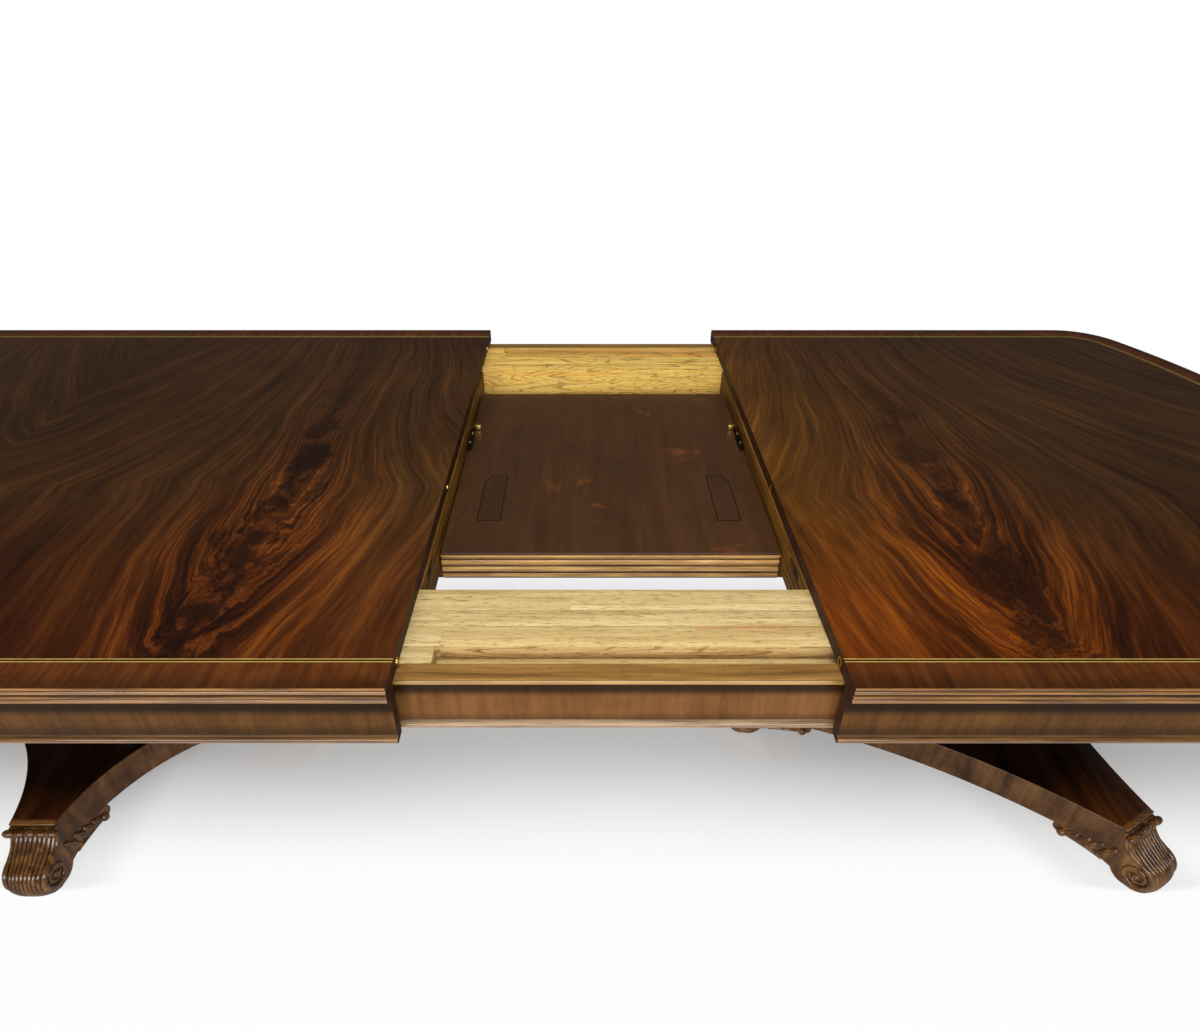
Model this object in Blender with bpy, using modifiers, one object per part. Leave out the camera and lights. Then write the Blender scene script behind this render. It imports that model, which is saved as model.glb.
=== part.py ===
"""Triple pedestal dining table, drawn out to show its two leaf wells with a folded leaf in each.

Metres, +Z up. X runs along the table and Y from the front edge to the back edge. The origin is on
the floor under the centre column. Three veneered tops stand on three pedestals. Between the centre
top and each end top a frame of oak banks slides half as far as the end top and carries the leaf.
"""
import math

import bmesh
import bpy
from mathutils import Vector

# Overall sizes
table_height = 0.712
table_width = 1.220
centre_length = 1.565
end_length = 1.040
leaf_gap = 0.535

# Tops
top_thick = 0.027
end_bow_radius = 1.450
end_corner_radius = 0.120
reed_depth = 0.005
reed_groove = 0.0015
reed_step = 0.002
pin_radius = 0.004
pin_length = 0.024
pin_stub = 0.004
pin_front_inset = 0.060
pin_middle_inset = 0.480
pin_back_inset = 0.092

# Aprons under the tops
apron_setback = 0.015
apron_thick = 0.018
apron_drop = 0.105
bead_radius = 0.0045

# Frame of each leaf well
well_setback = 0.0042
well_rail_drop = 0.107
cap_width = 0.0276
cap_lip = 0.005
cap_height = 0.010
bank_width = 0.1477
bank_height = 0.052
bank_hold = 0.140
groove_width = 0.0305
groove_depth = 0.020
groove_stop = 0.040
runner_thick = 0.028
runner_lip = 0.022
runner_lip_thick = 0.020
runner_room = 0.045
side_rail_thick = 0.024
side_rail_height = 0.063
ledge_width = 0.016
ledge_thick = 0.011
ledge_set_in = 0.020

# Folding leaf
leaf_thick = 0.025
leaf_side_room = 0.0055
leaf_rail_room = 0.0025
leaf_back_room = 0.0522
leaf_sink = 0.031
hinge_rod_radius = 0.0026
hinge_rod_short = 0.010

# Pedestals
end_column_inset = 0.506
cleat_thick = 0.036
cleat_room = 0.028
end_cleat_half = 0.190
centre_cleat_half = 0.350
column_base_radius = 0.105
column_vase_radius = 0.084
column_neck_radius = 0.046
column_cap_radius = 0.092
platform_bottom = 0.060
platform_thick = 0.068
lobe_width = 0.085
end_lobe_reach = 0.412
end_waist = 0.203
centre_lobe_reach = 0.364
centre_waist = 0.211
foot_width = 0.093
foot_toe_reach = 0.047
foot_toe_radius = 0.043
foot_back_reach = 0.090
foot_curl_radius = 0.012
foot_collar_radius = 0.010
foot_flare = 0.22

# Clearances
seat_gap = 0.0003
slide_gap = 0.0005
closing_gap = 0.001
pin_gap = 0.0003
socket_gap = 0.0006

# Levels and edges that follow from the sizes above
half_width = table_width / 2
centre_half = centre_length / 2
reed_height = (top_thick - reed_groove) / 2
edge_bottom = table_height - top_thick
board_bottom = edge_bottom + reed_height / 2
hang_level = board_bottom - seat_gap
well_top = board_bottom - slide_gap
apron_bottom = table_height - apron_drop
well_rail_bottom = table_height - well_rail_drop
apron_back = apron_setback + apron_thick
rail_front = apron_back + well_setback
rail_back = rail_front + cap_width
bank_outer = rail_back + seat_gap
bank_inner = bank_outer + bank_width
bank_bottom = well_top - bank_height
end_travel = leaf_gap - closing_gap
well_travel = end_travel / 2
runner_start = well_travel + side_rail_thick + runner_room
bank_reach = runner_start + bank_hold
end_edge = centre_half + leaf_gap
end_column_x = end_edge + end_column_inset
well_centre = centre_half + leaf_gap / 2
leaf_half_width = leaf_gap / 2 - leaf_side_room
leaf_stack_top = well_top - leaf_sink
leaf_fold_level = leaf_stack_top - leaf_thick
leaf_stack_bottom = leaf_fold_level - leaf_thick
leaf_far = half_width - bank_inner - leaf_back_room
leaf_near = leaf_far - half_width
platform_top = platform_bottom + platform_thick
cleat_bottom = hang_level - cleat_thick
arc_steps = 8
pin_places = {"front": pin_front_inset - half_width, "middle": pin_middle_inset - half_width,
              "back": half_width - pin_back_inset}


# Scene set-up: empty the file and make the two collections
for old in list(bpy.data.objects):
    bpy.data.objects.remove(old)
table = bpy.data.collections.new("triple_pedestal_dining_table")
cutters = bpy.data.collections.new("cutters")
bpy.context.scene.collection.children.link(table)
bpy.context.scene.collection.children.link(cutters)


def wood(name, colour, roughness):
    """A Principled material for one piece."""
    return finish(name, colour, roughness, 0.0)


def brass(name):
    return finish(name, (0.62, 0.44, 0.16), 0.32, 1.0)


def finish(name, colour, roughness, metallic):
    mat = bpy.data.materials.new(name)
    mat.use_nodes = True
    shader = mat.node_tree.nodes["Principled BSDF"]
    shader.inputs["Base Color"].default_value = (*colour, 1.0)
    shader.inputs["Roughness"].default_value = roughness
    shader.inputs["Metallic"].default_value = metallic
    return mat


mahogany = (0.10, 0.040, 0.016)
dark_mahogany = (0.055, 0.024, 0.011)
oak = (0.56, 0.40, 0.19)
golden_oak = (0.24, 0.12, 0.030)


def body(name, place):
    """An empty that carries the pieces which move together."""
    empty = bpy.data.objects.new(name, None)
    empty.location = place
    table.objects.link(empty)
    bpy.context.view_layer.update()
    return empty


def settle(obj, carrier, mat):
    """Put a finished piece in the table's collection, on its carrier, with its own material."""
    for home in list(obj.users_collection):
        home.objects.unlink(obj)
    table.objects.link(obj)
    obj.data.materials.clear()
    obj.data.materials.append(mat)
    obj.parent = carrier
    obj.matrix_parent_inverse = carrier.matrix_world.inverted()
    return obj


def arc(centre, radius, start, stop, steps=arc_steps):
    """Points along an arc, with its angles in degrees."""
    points = []
    for step in range(steps + 1):
        angle = math.radians(start + (stop - start) * step / steps)
        points.append((centre[0] + radius * math.cos(angle), centre[1] + radius * math.sin(angle)))
    return points


def curve_between(start, pull, stop, steps=arc_steps):
    """Points strictly between two ends of a curve that is drawn towards a third point."""
    points = []
    for step in range(1, steps):
        t = step / steps
        x = (1 - t) ** 2 * start[0] + 2 * t * (1 - t) * pull[0] + t ** 2 * stop[0]
        y = (1 - t) ** 2 * start[1] + 2 * t * (1 - t) * pull[1] + t ** 2 * stop[1]
        points.append((x, y))
    return points


def extruded(name, outline, length, place, turn):
    """A flat outline drawn as a 2D curve and given a thickness along its own normal."""
    curve = bpy.data.curves.new(name, "CURVE")
    curve.dimensions = "2D"
    curve.fill_mode = "BOTH"
    curve.extrude = length / 2
    spline = curve.splines.new("POLY")
    spline.points.add(len(outline) - 1)
    for point, (x, y) in zip(spline.points, outline):
        point.co = (x, y, 0.0, 1.0)
    spline.use_cyclic_u = True
    obj = bpy.data.objects.new(name, curve)
    obj.location = place
    obj.rotation_euler = turn
    table.objects.link(obj)
    return obj


flat = (0.0, 0.0, 0.0)
along_x = (math.pi / 2, 0.0, math.pi / 2)
along_y = (math.pi / 2, 0.0, 0.0)


def as_mesh(curve_object):
    """The same piece as a welded mesh object, ready to be cut."""
    bpy.context.view_layer.update()
    graph = bpy.context.evaluated_depsgraph_get()
    mesh = bpy.data.meshes.new_from_object(curve_object.evaluated_get(graph))
    shape = bmesh.new()
    shape.from_mesh(mesh)
    bmesh.ops.remove_doubles(shape, verts=shape.verts, dist=1e-6)
    shape.to_mesh(mesh)
    shape.free()
    name = curve_object.name
    matrix = curve_object.matrix_world.copy()
    bpy.data.objects.remove(curve_object)
    obj = bpy.data.objects.new(name, mesh)
    obj.matrix_world = matrix
    table.objects.link(obj)
    bpy.context.view_layer.update()
    return obj


def loft(name, rings, fold=0):
    """A closed solid through rings of matching points, capped at the first and the last ring.

    With a fold, each cap is bent along the line from that point to the ring's last point.
    """
    shape = bmesh.new()
    loops = [[shape.verts.new(point) for point in ring] for ring in rings]
    count = len(loops[0])
    for lower, upper in zip(loops, loops[1:]):
        for step in range(count):
            after = (step + 1) % count
            shape.faces.new((lower[step], lower[after], upper[after], upper[step]))
    for loop in (loops[0], loops[-1]):
        shape.faces.new(loop[fold:])
        if fold:
            shape.faces.new(loop[-1:] + loop[:fold + 1])
    bmesh.ops.recalc_face_normals(shape, faces=shape.faces)
    mesh = bpy.data.meshes.new(name)
    shape.to_mesh(mesh)
    shape.free()
    return bpy.data.objects.new(name, mesh)


def turned(name, profile, steps, place, turn=flat):
    """A turned piece: a profile of (radius, height) pairs, top first, swept about its own axis."""
    mesh = bpy.data.meshes.new(name)
    shape = bmesh.new()
    points = [shape.verts.new((radius, 0.0, height)) for radius, height in profile]
    for first, second in zip(points, points[1:]):
        shape.edges.new((first, second))
    shape.to_mesh(mesh)
    shape.free()
    obj = bpy.data.objects.new(name, mesh)
    obj.location = place
    obj.rotation_euler = turn
    screw = obj.modifiers.new("turning", "SCREW")
    screw.steps = steps
    screw.render_steps = steps
    screw.use_merge_vertices = True
    screw.merge_threshold = 1e-5
    screw.use_smooth_shade = True
    return obj


def cut(obj, cutter):
    """Take a cutter's shape out of a piece."""
    for home in list(cutter.users_collection):
        home.objects.unlink(cutter)
    cutters.objects.link(cutter)
    cutter.hide_render = True
    cutter.display_type = "WIRE"
    boolean = obj.modifiers.new(cutter.name, "BOOLEAN")
    boolean.operation = "DIFFERENCE"
    boolean.object = cutter


def box_cutter(name, low, high):
    middle = (Vector(low) + Vector(high)) / 2
    bpy.ops.mesh.primitive_cube_add(size=1.0, location=middle)
    cutter = bpy.context.object
    cutter.name = name
    cutter.scale = Vector(high) - Vector(low)
    return cutter


def hole_cutter(name, radius, start, stop, y, z):
    """A round hole along X from one end to the other."""
    bpy.ops.mesh.primitive_cylinder_add(
        vertices=16, radius=radius, depth=abs(stop - start),
        location=((start + stop) / 2, y, z), rotation=(0.0, math.pi / 2, 0.0))
    cutter = bpy.context.object
    cutter.name = name
    return cutter


def across(section, side):
    """Turn a section of (distance in from the long edge, height) into (y, height) on one side."""
    if side == "front":
        return [(inset - half_width, height) for inset, height in section]
    return [(half_width - inset, height) for inset, height in reversed(section)]


def lengthwise(name, section, side, low_x, high_x):
    """A straight piece along X with the given cross-section, at the front or the back."""
    return extruded(name, across(section, side), high_x - low_x, ((low_x + high_x) / 2, 0.0, 0.0), along_x)


def reeded_edge(thickness, base):
    """The moulded edge from bottom to top: two reeds with a groove, as (inset, height)."""
    reed = (thickness - reed_groove) / 2
    points = []
    for level, step_back in ((base, 0.0), (base + reed + reed_groove, reed_step)):
        for inset, height in arc((0.0, 0.0), 1.0, -90.0, 90.0, 6):
            points.append((step_back + reed_depth * (1.0 - inset), level + reed * (1.0 + height) / 2))
    return points


def beaded_face(face, bottom):
    """The small bead along the lower edge of an apron, from its top down, as (inset, height)."""
    return arc((face, bottom + bead_radius), bead_radius, 90.0, 270.0, 6)


# The lower reed is split along its crest: the upper half is on the board, and the lower half on the apron
edge_profile = reeded_edge(top_thick, edge_bottom)
board_edge = edge_profile[3:]
apron_lip = [(0.0, hang_level)] + edge_profile[2::-1]
apron_section = [(apron_back, apron_bottom), (apron_back, hang_level)] + apron_lip + [(apron_setback, edge_bottom)]
apron_section += beaded_face(apron_setback, apron_bottom)

rail_face = rail_front + cap_lip
well_rail_section = [(rail_back, well_rail_bottom), (rail_back, well_top), (rail_front, well_top),
                     (rail_front, well_top - cap_height), (rail_face, well_top - cap_height)]
well_rail_section += beaded_face(rail_face, well_rail_bottom)

bank_section = [(bank_outer, bank_bottom), (bank_inner, bank_bottom), (bank_inner, well_top), (bank_outer, well_top)]

runner_inner = bank_inner + slide_gap
runner_outer = runner_inner + runner_thick
runner_lip_top = bank_bottom - slide_gap
runner_bottom = runner_lip_top - runner_lip_thick
cleat_reach = half_width - runner_outer - cleat_room
runner_section = [(bank_inner - runner_lip, runner_bottom), (runner_outer, runner_bottom),
                  (runner_outer, hang_level), (runner_inner, hang_level),
                  (runner_inner, runner_lip_top), (bank_inner - runner_lip, runner_lip_top)]


# Tops: one loft through the moulded edge for each, with the edges at the leaf gaps cut square
def end_curve(inset):
    """The front corner, the bowed end and the back corner of the right end top, drawn in by inset."""
    bow_centre = end_edge + end_length - end_bow_radius
    corner_y = half_width - end_corner_radius
    reach = math.sqrt((end_bow_radius - end_corner_radius) ** 2 - corner_y ** 2)
    turn = math.degrees(math.atan2(corner_y, reach))
    corner_x = bow_centre + reach
    corner = end_corner_radius - inset
    front = arc((corner_x, -corner_y), corner, -90.0, -turn)
    bow = arc((bow_centre, 0.0), end_bow_radius - inset, -turn, turn, 2 * arc_steps)
    back = arc((corner_x, corner_y), corner, turn, 90.0)
    return front + bow[1:-1] + back


def end_ring(inset, height, sign):
    """The whole outline of an end top at one height."""
    edge = half_width - inset
    outline = [(end_edge, -edge)] + end_curve(inset) + [(end_edge, edge)]
    return [(sign * x, y, height) for x, y in outline]


def centre_ring(inset, height):
    edge = half_width - inset
    return [(-centre_half, -edge, height), (centre_half, -edge, height),
            (centre_half, edge, height), (-centre_half, edge, height)]


pin_level = edge_bottom + top_thick / 2


def centre_top(carrier):
    obj = loft("centre_top", [centre_ring(inset, height) for inset, height in board_edge])
    settle(obj, carrier, wood("centre_top_veneer", mahogany, 0.28))
    for side, sign in sides.items():
        edge = sign * centre_half
        buried = sign * (centre_half - pin_length + pin_stub - pin_gap)
        for place, y in pin_places.items():
            hole = hole_cutter(f"{side}_{place}_pin_hole", pin_radius + pin_gap, buried,
                               edge + sign * pin_stub, y, pin_level)
            cut(obj, hole)


def brass_pins(side, sign, carrier):
    """Short domed pins let into the centre top's edge, which line up the tops and the leaf."""
    root = -(pin_length - pin_stub)
    shoulder = pin_stub - pin_radius / 2
    profile = [(0.0, pin_stub), (pin_radius * 0.6, pin_stub - pin_radius * 0.15), (pin_radius, shoulder),
               (pin_radius, root), (0.0, root)]
    for place, y in pin_places.items():
        obj = turned(f"{side}_pin_{place}", profile, 16, (sign * centre_half, y, pin_level),
                     (0.0, sign * math.pi / 2, 0.0))
        settle(obj, carrier, brass(f"{side}_pin_{place}_brass"))


def end_top(side, sign, carrier):
    obj = loft(f"{side}_top", [end_ring(inset, height, sign) for inset, height in board_edge])
    settle(obj, carrier, wood(f"{side}_top_veneer", mahogany, 0.28))
    deepest = sign * (end_edge + pin_stub + closing_gap)
    mouth = sign * (end_edge - pin_stub)
    for place, y in pin_places.items():
        cut(obj, hole_cutter(f"{side}_{place}_socket", pin_radius + socket_gap, mouth, deepest, y, pin_level))


# Aprons: straight lengths at the front and the back, and a bent length round each bowed end
def straight_aprons(owner, low_x, high_x, carrier):
    for side in ("front", "back"):
        name = f"{owner}_apron_{side}"
        obj = lengthwise(name, apron_section, side, low_x, high_x)
        settle(obj, carrier, wood(f"{name}_veneer", mahogany, 0.32))


def end_apron(side, sign, carrier):
    curves = [end_curve(inset) for inset, height in apron_section]
    rings = []
    for step in range(len(curves[0])):
        ring = [(sign * curve[step][0], curve[step][1], height)
                for curve, (inset, height) in zip(curves, apron_section)]
        rings.append(ring)
    settle(loft(f"{side}_apron_end", rings), carrier, wood(f"{side}_apron_end_veneer", mahogany, 0.32))


# Oak runners under the tops, which hook beneath the sliding banks
def runners(owner, low_x, high_x, carrier):
    for side in ("front", "back"):
        name = f"{owner}_runner_{side}"
        obj = lengthwise(name, runner_section, side, low_x, high_x)
        settle(obj, carrier, wood(f"{name}_oak", oak, 0.55))


# Pedestals: cleat, turned column, concave-sided platform and scroll feet
def platform_outline(headings, reach, waist):
    """Lobes with square ends joined by hollow sides, whose nearest point is waist from the axis."""
    outline = []
    half = lobe_width / 2
    for heading, following in zip(headings, headings[1:] + headings[:1]):
        spread = (following - heading) % 360.0
        middle = math.radians(heading + spread / 2)
        out = Vector((math.cos(math.radians(heading)), math.sin(math.radians(heading))))
        left = Vector((-out.y, out.x))
        corner = reach * out + half * left
        bisector = Vector((math.cos(middle), math.sin(middle)))
        along = corner.dot(bisector)
        aside = abs(corner.dot(Vector((-bisector.y, bisector.x))))
        radius = ((along - waist) ** 2 + aside ** 2) / (2 * (along - waist))
        hollow_centre = (waist + radius) * bisector
        swing = math.degrees(math.asin(aside / radius))
        back = math.degrees(middle) + 180.0
        outline.append(tuple(reach * out - half * left))
        outline += arc(hollow_centre, radius, back + swing, back - swing, 2 * arc_steps)
    return outline


def foot_outline():
    """Side view of a scroll foot: x out from the platform's end, y up from the floor.

    The second value is the place in the outline of the point below the platform's end.
    """
    under = platform_bottom - seat_gap
    flat_sink = 0.03 * foot_toe_radius
    toe = (foot_toe_reach, foot_toe_radius - flat_sink)
    flat_angle = math.degrees(math.acos(toe[1] / foot_toe_radius))
    curl = (-foot_back_reach, under - foot_curl_radius)
    collar = (seat_gap + foot_collar_radius, platform_top - foot_collar_radius)
    back = arc(curl, foot_curl_radius, 90.0, 300.0)
    heel = arc(toe, foot_toe_radius, 190.0, 270.0 - flat_angle, 5)
    below = (seat_gap, foot_toe_radius)
    front = arc(toe, foot_toe_radius, 270.0 + flat_angle, 410.0, 12)
    ridge = arc(collar, foot_collar_radius, -90.0, 90.0, 5)
    hollow = (0.45 * foot_toe_reach, 2 * foot_toe_radius)
    outline = back + curve_between(back[-1], (-0.5 * foot_back_reach, 1.2 * foot_toe_radius), below, 5)
    fold = len(outline)
    outline += [below] + heel + front + curve_between(front[-1], hollow, ridge[0], 6) + ridge
    return outline + [(seat_gap, platform_top), (seat_gap, under)], fold


def foot(name, axis_x, heading, reach, carrier):
    """One scroll foot under the end of a lobe: its scroll stands out in front, and it widens to the back."""
    outline, fold = foot_outline()
    rings = []
    for way in (-1.0, 1.0):
        ring = [(x, way * (foot_width / 2 + foot_flare * max(0.0, seat_gap - x)), z) for x, z in outline]
        rings.append(ring)
    obj = loft(name, rings, fold)
    turn = math.radians(heading)
    obj.location = (axis_x + reach * math.cos(turn), reach * math.sin(turn), 0.0)
    obj.rotation_euler = (0.0, 0.0, turn)
    settle(obj, carrier, wood(f"{name}_carving", mahogany, 0.35))


def pedestal(owner, axis_x, lobes, reach, waist, cleat_half, carrier):
    low = (axis_x - cleat_half, -cleat_reach)
    high = (axis_x + cleat_half, cleat_reach)
    outline = [low, (high[0], low[1]), high, (low[0], high[1])]
    cleat = extruded(f"{owner}_cleat", outline, cleat_thick, (0.0, 0.0, cleat_bottom + cleat_thick / 2), flat)
    settle(cleat, carrier, wood(f"{owner}_cleat_oak", golden_oak, 0.6))

    foot_of_column = platform_top + seat_gap
    head = cleat_bottom - seat_gap
    tall = head - foot_of_column
    shape = [(0.0, 1.0), (column_cap_radius, 1.0), (column_cap_radius, 0.955), (column_cap_radius * 0.86, 0.93),
             (column_cap_radius * 0.66, 0.90), (column_neck_radius * 1.15, 0.84), (column_neck_radius, 0.76),
             (column_neck_radius * 1.4, 0.745), (column_neck_radius * 1.5, 0.725), (column_neck_radius * 1.4, 0.705),
             (column_neck_radius, 0.69), (column_neck_radius * 1.15, 0.62), (column_vase_radius * 0.82, 0.50),
             (column_vase_radius, 0.38), (column_vase_radius * 0.96, 0.30), (column_vase_radius * 0.72, 0.215),
             (column_vase_radius * 0.66, 0.185), (column_base_radius * 0.86, 0.165), (column_base_radius * 0.92, 0.135),
             (column_base_radius * 0.86, 0.105), (column_base_radius, 0.085), (column_base_radius, 0.0), (0.0, 0.0)]
    profile = [(radius, foot_of_column + share * tall) for radius, share in shape]
    column = turned(f"{owner}_column", profile, 24, (axis_x, 0.0, 0.0))
    settle(column, carrier, wood(f"{owner}_column_mahogany", mahogany, 0.3))

    headings = sorted(lobes.values())
    outline = platform_outline(headings, reach, waist)
    middle = platform_bottom + platform_thick / 2
    platform = extruded(f"{owner}_platform", outline, platform_thick, (axis_x, 0.0, middle), flat)
    settle(platform, carrier, wood(f"{owner}_platform_veneer", mahogany, 0.32))

    for place, heading in lobes.items():
        foot(f"{owner}_foot_{place}", axis_x, heading, reach, carrier)


# Leaf wells: moulded rails, laminated banks and side rails that carry the folded leaf
def well_frame(side, sign, carrier):
    middle = sign * well_centre
    reach = leaf_gap / 2 + bank_reach
    low_x = middle - reach
    high_x = middle + reach
    groove_start = sign * (centre_half + groove_stop)
    groove_end = middle + sign * (reach + groove_stop)
    for face, way in (("front", -1.0), ("back", 1.0)):
        rail = lengthwise(f"{side}_well_rail_{face}", well_rail_section, face, low_x, high_x)
        settle(rail, carrier, wood(f"{side}_well_rail_{face}_veneer", mahogany, 0.32))
        bank = as_mesh(lengthwise(f"{side}_bank_{face}", bank_section, face, low_x, high_x))
        settle(bank, carrier, wood(f"{side}_bank_{face}_oak", oak, 0.5))
        edge = way * (half_width - bank_outer - groove_width)
        open_side = way * (half_width - bank_outer + groove_width)
        low = (min(groove_start, groove_end), min(edge, open_side), well_top - groove_depth)
        high = (max(groove_start, groove_end), max(edge, open_side), well_top + groove_depth)
        cut(bank, box_cutter(f"{side}_groove_{face}", low, high))

    rail_inner = leaf_half_width + leaf_rail_room
    rail_outer = rail_inner + side_rail_thick
    ledge = leaf_half_width - ledge_width
    ledge_top = leaf_stack_bottom - seat_gap
    rail_bottom = ledge_top - ledge_thick
    section = [(ledge, rail_bottom), (rail_outer, rail_bottom), (rail_outer, well_top), (rail_inner, well_top),
               (rail_inner, ledge_top), (ledge, ledge_top)]
    length = 2 * (half_width - bank_inner - seat_gap)
    for place, way in (("inner", -sign), ("outer", sign)):
        outline = [(way * x, z) for x, z in section]
        if way < 0:
            outline.reverse()
        name = f"{side}_side_rail_{place}"
        rail = as_mesh(extruded(name, outline, length, (middle, 0.0, 0.0), along_y))
        settle(rail, carrier, wood(f"{name}_oak", golden_oak, 0.5))
        outer_x, inner_x = middle + way * (rail_outer + ledge_width), middle + way * (ledge - ledge_width)
        low = (min(outer_x, inner_x), -half_width, rail_bottom - ledge_thick)
        high = (max(outer_x, inner_x), leaf_near + ledge_set_in, well_top - side_rail_height)
        cut(rail, box_cutter(f"{name}_notch", low, high))


# Folding leaf: two halves with their show faces together, hinged along the far edge
def leaf(side, sign, lower_carrier, upper_carrier):
    notch = hinge_rod_radius + slide_gap
    half_gap = seat_gap / 2
    lower_top = leaf_fold_level - half_gap
    thickness = leaf_thick - half_gap
    edge = [(leaf_near + inset, height) for inset, height in reeded_edge(thickness, leaf_stack_bottom)]
    far = leaf_far - half_gap
    lower = [(far, leaf_stack_bottom), (far, lower_top - notch), (far - notch, lower_top - notch),
             (far - notch, lower_top)] + edge[::-1]
    upper = [(y, 2 * leaf_fold_level - height) for y, height in reversed(lower)]
    place = (sign * well_centre, 0.0, 0.0)
    wide = 2 * leaf_half_width
    under = extruded(f"{side}_leaf_lower", lower, wide, place, along_x)
    settle(under, lower_carrier, wood(f"{side}_leaf_lower_veneer", dark_mahogany, 0.4))
    over = extruded(f"{side}_leaf_upper", upper, wide, place, along_x)
    settle(over, upper_carrier, wood(f"{side}_leaf_upper_veneer", dark_mahogany, 0.4))
    bpy.ops.mesh.primitive_cylinder_add(
        vertices=12, radius=hinge_rod_radius, depth=wide - 2 * hinge_rod_short,
        location=(sign * well_centre, leaf_far, leaf_fold_level), rotation=(0.0, math.pi / 2, 0.0))
    rod = bpy.context.object
    rod.name = f"{side}_leaf_hinge"
    settle(rod, lower_carrier, brass(f"{side}_leaf_hinge_brass"))


# Assembly
sides = {"right": 1, "left": -1}
centre = body("centre", (0.0, 0.0, 0.0))
centre_top(centre)
straight_aprons("centre", slide_gap - centre_half, centre_half - slide_gap, centre)
runners("centre", runner_start - centre_half, centre_half - runner_start, centre)
pedestal("centre", 0.0, {"right": 0.0, "back": 90.0, "left": 180.0, "front": 270.0},
         centre_lobe_reach, centre_waist, centre_cleat_half, centre)

corner_start = end_curve(0.0)[0][0]
for side, sign in sides.items():
    brass_pins(side, sign, centre)

    end = body(f"{side}_end", (sign * end_column_x, 0.0, 0.0))
    end_top(side, sign, end)
    low_x, high_x = sorted((sign * (end_edge + slide_gap), sign * (corner_start - seat_gap)))
    straight_aprons(side, low_x, high_x, end)
    end_apron(side, sign, end)
    runner_far = end_edge + bank_reach + well_travel + runner_room
    low_x, high_x = sorted((sign * (end_edge + runner_start), sign * runner_far))
    runners(side, low_x, high_x, end)
    inner = 180.0 if sign > 0 else 0.0
    headings = {"inner": inner, "front": 270.0 + sign * 30.0, "back": 90.0 - sign * 30.0}
    pedestal(side, sign * end_column_x, headings, end_lobe_reach, end_waist, end_cleat_half, end)

    well = body(f"{side}_well", (sign * well_centre, 0.0, 0.0))
    well_frame(side, sign, well)
    lower_leaf = body(f"{side}_leaf_lower_body", (sign * well_centre, leaf_far, leaf_fold_level))
    upper_leaf = body(f"{side}_leaf_upper_body", (sign * well_centre, leaf_far, leaf_fold_level))
    leaf(side, sign, lower_leaf, upper_leaf)
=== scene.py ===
"""Looks of a triple pedestal dining table: crotch veneer, inlay, carving, laminated oak and brass."""
import math

import bmesh
import bpy
from mathutils import Matrix, Vector


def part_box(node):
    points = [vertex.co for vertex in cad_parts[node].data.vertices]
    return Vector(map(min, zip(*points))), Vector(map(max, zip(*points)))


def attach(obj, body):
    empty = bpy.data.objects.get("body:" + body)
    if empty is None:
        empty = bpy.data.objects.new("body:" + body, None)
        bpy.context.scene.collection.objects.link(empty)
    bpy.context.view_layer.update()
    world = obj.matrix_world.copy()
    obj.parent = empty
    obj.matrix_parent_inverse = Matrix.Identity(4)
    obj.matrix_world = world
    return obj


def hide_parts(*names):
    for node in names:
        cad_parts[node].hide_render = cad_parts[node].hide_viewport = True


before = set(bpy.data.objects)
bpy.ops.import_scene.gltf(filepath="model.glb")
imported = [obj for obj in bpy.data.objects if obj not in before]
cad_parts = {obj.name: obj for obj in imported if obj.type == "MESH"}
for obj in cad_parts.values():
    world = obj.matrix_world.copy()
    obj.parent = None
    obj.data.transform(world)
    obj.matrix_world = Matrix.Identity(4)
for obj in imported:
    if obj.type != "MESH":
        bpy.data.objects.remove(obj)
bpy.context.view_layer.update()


# Camera: it stands before one open leaf gap and looks down into it, as the photograph does.
# The lens is wide, and small shifts stand for the crop of the picture.
photo_width = 1200
focal_pixels = 773.5
crop_across = 16.0
crop_up = 41.7
camera_place = (1.009, -1.242, 1.338)
camera_pitch = 34.98

lens = bpy.data.cameras.new("camera")
lens.sensor_width = 36.0
lens.lens = lens.sensor_width * focal_pixels / photo_width
lens.shift_x = crop_across / photo_width
lens.shift_y = crop_up / photo_width
lens.clip_start = 0.05
camera = bpy.data.objects.new("camera", lens)
camera.location = camera_place
camera.rotation_euler = (math.radians(90.0 - camera_pitch), 0.0, 0.0)
bpy.context.scene.collection.objects.link(camera)
bpy.context.scene.camera = camera
bpy.context.scene.view_settings.view_transform = "Standard"


# Studio: a wide white floor that keeps the table's soft shadow and turns plain white in front and behind.
# A soft lamp hangs over the open gap, a wide one stands in front and one is high above. The room is dim.
def node(tree, kind, sockets=None, **settings):
    """A shader node with its settings, whose sockets take a value or a wire."""
    made = tree.nodes.new("ShaderNode" + kind)
    for key, value in settings.items():
        setattr(made, key, value)
    for socket, value in (sockets or {}).items():
        if isinstance(value, bpy.types.NodeSocket):
            tree.links.new(value, made.inputs[socket])
        else:
            made.inputs[socket].default_value = value
    return made


def sums(tree, operation, first, second=0.0):
    """One step of arithmetic."""
    return node(tree, "Math", {0: first, 1: second}, operation=operation).outputs[0]


def eased(tree, value, low, high, start=0.0, stop=1.0):
    """A value that goes smoothly from start to stop as another goes from low to high."""
    sockets = {"Value": value, "From Min": low, "From Max": high, "To Min": start, "To Max": stop}
    return node(tree, "MapRange", sockets, interpolation_type="SMOOTHSTEP").outputs[0]


def object_place(tree):
    """Coordinates that stay with the piece they colour."""
    return node(tree, "TexCoord").outputs["Object"]


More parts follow.
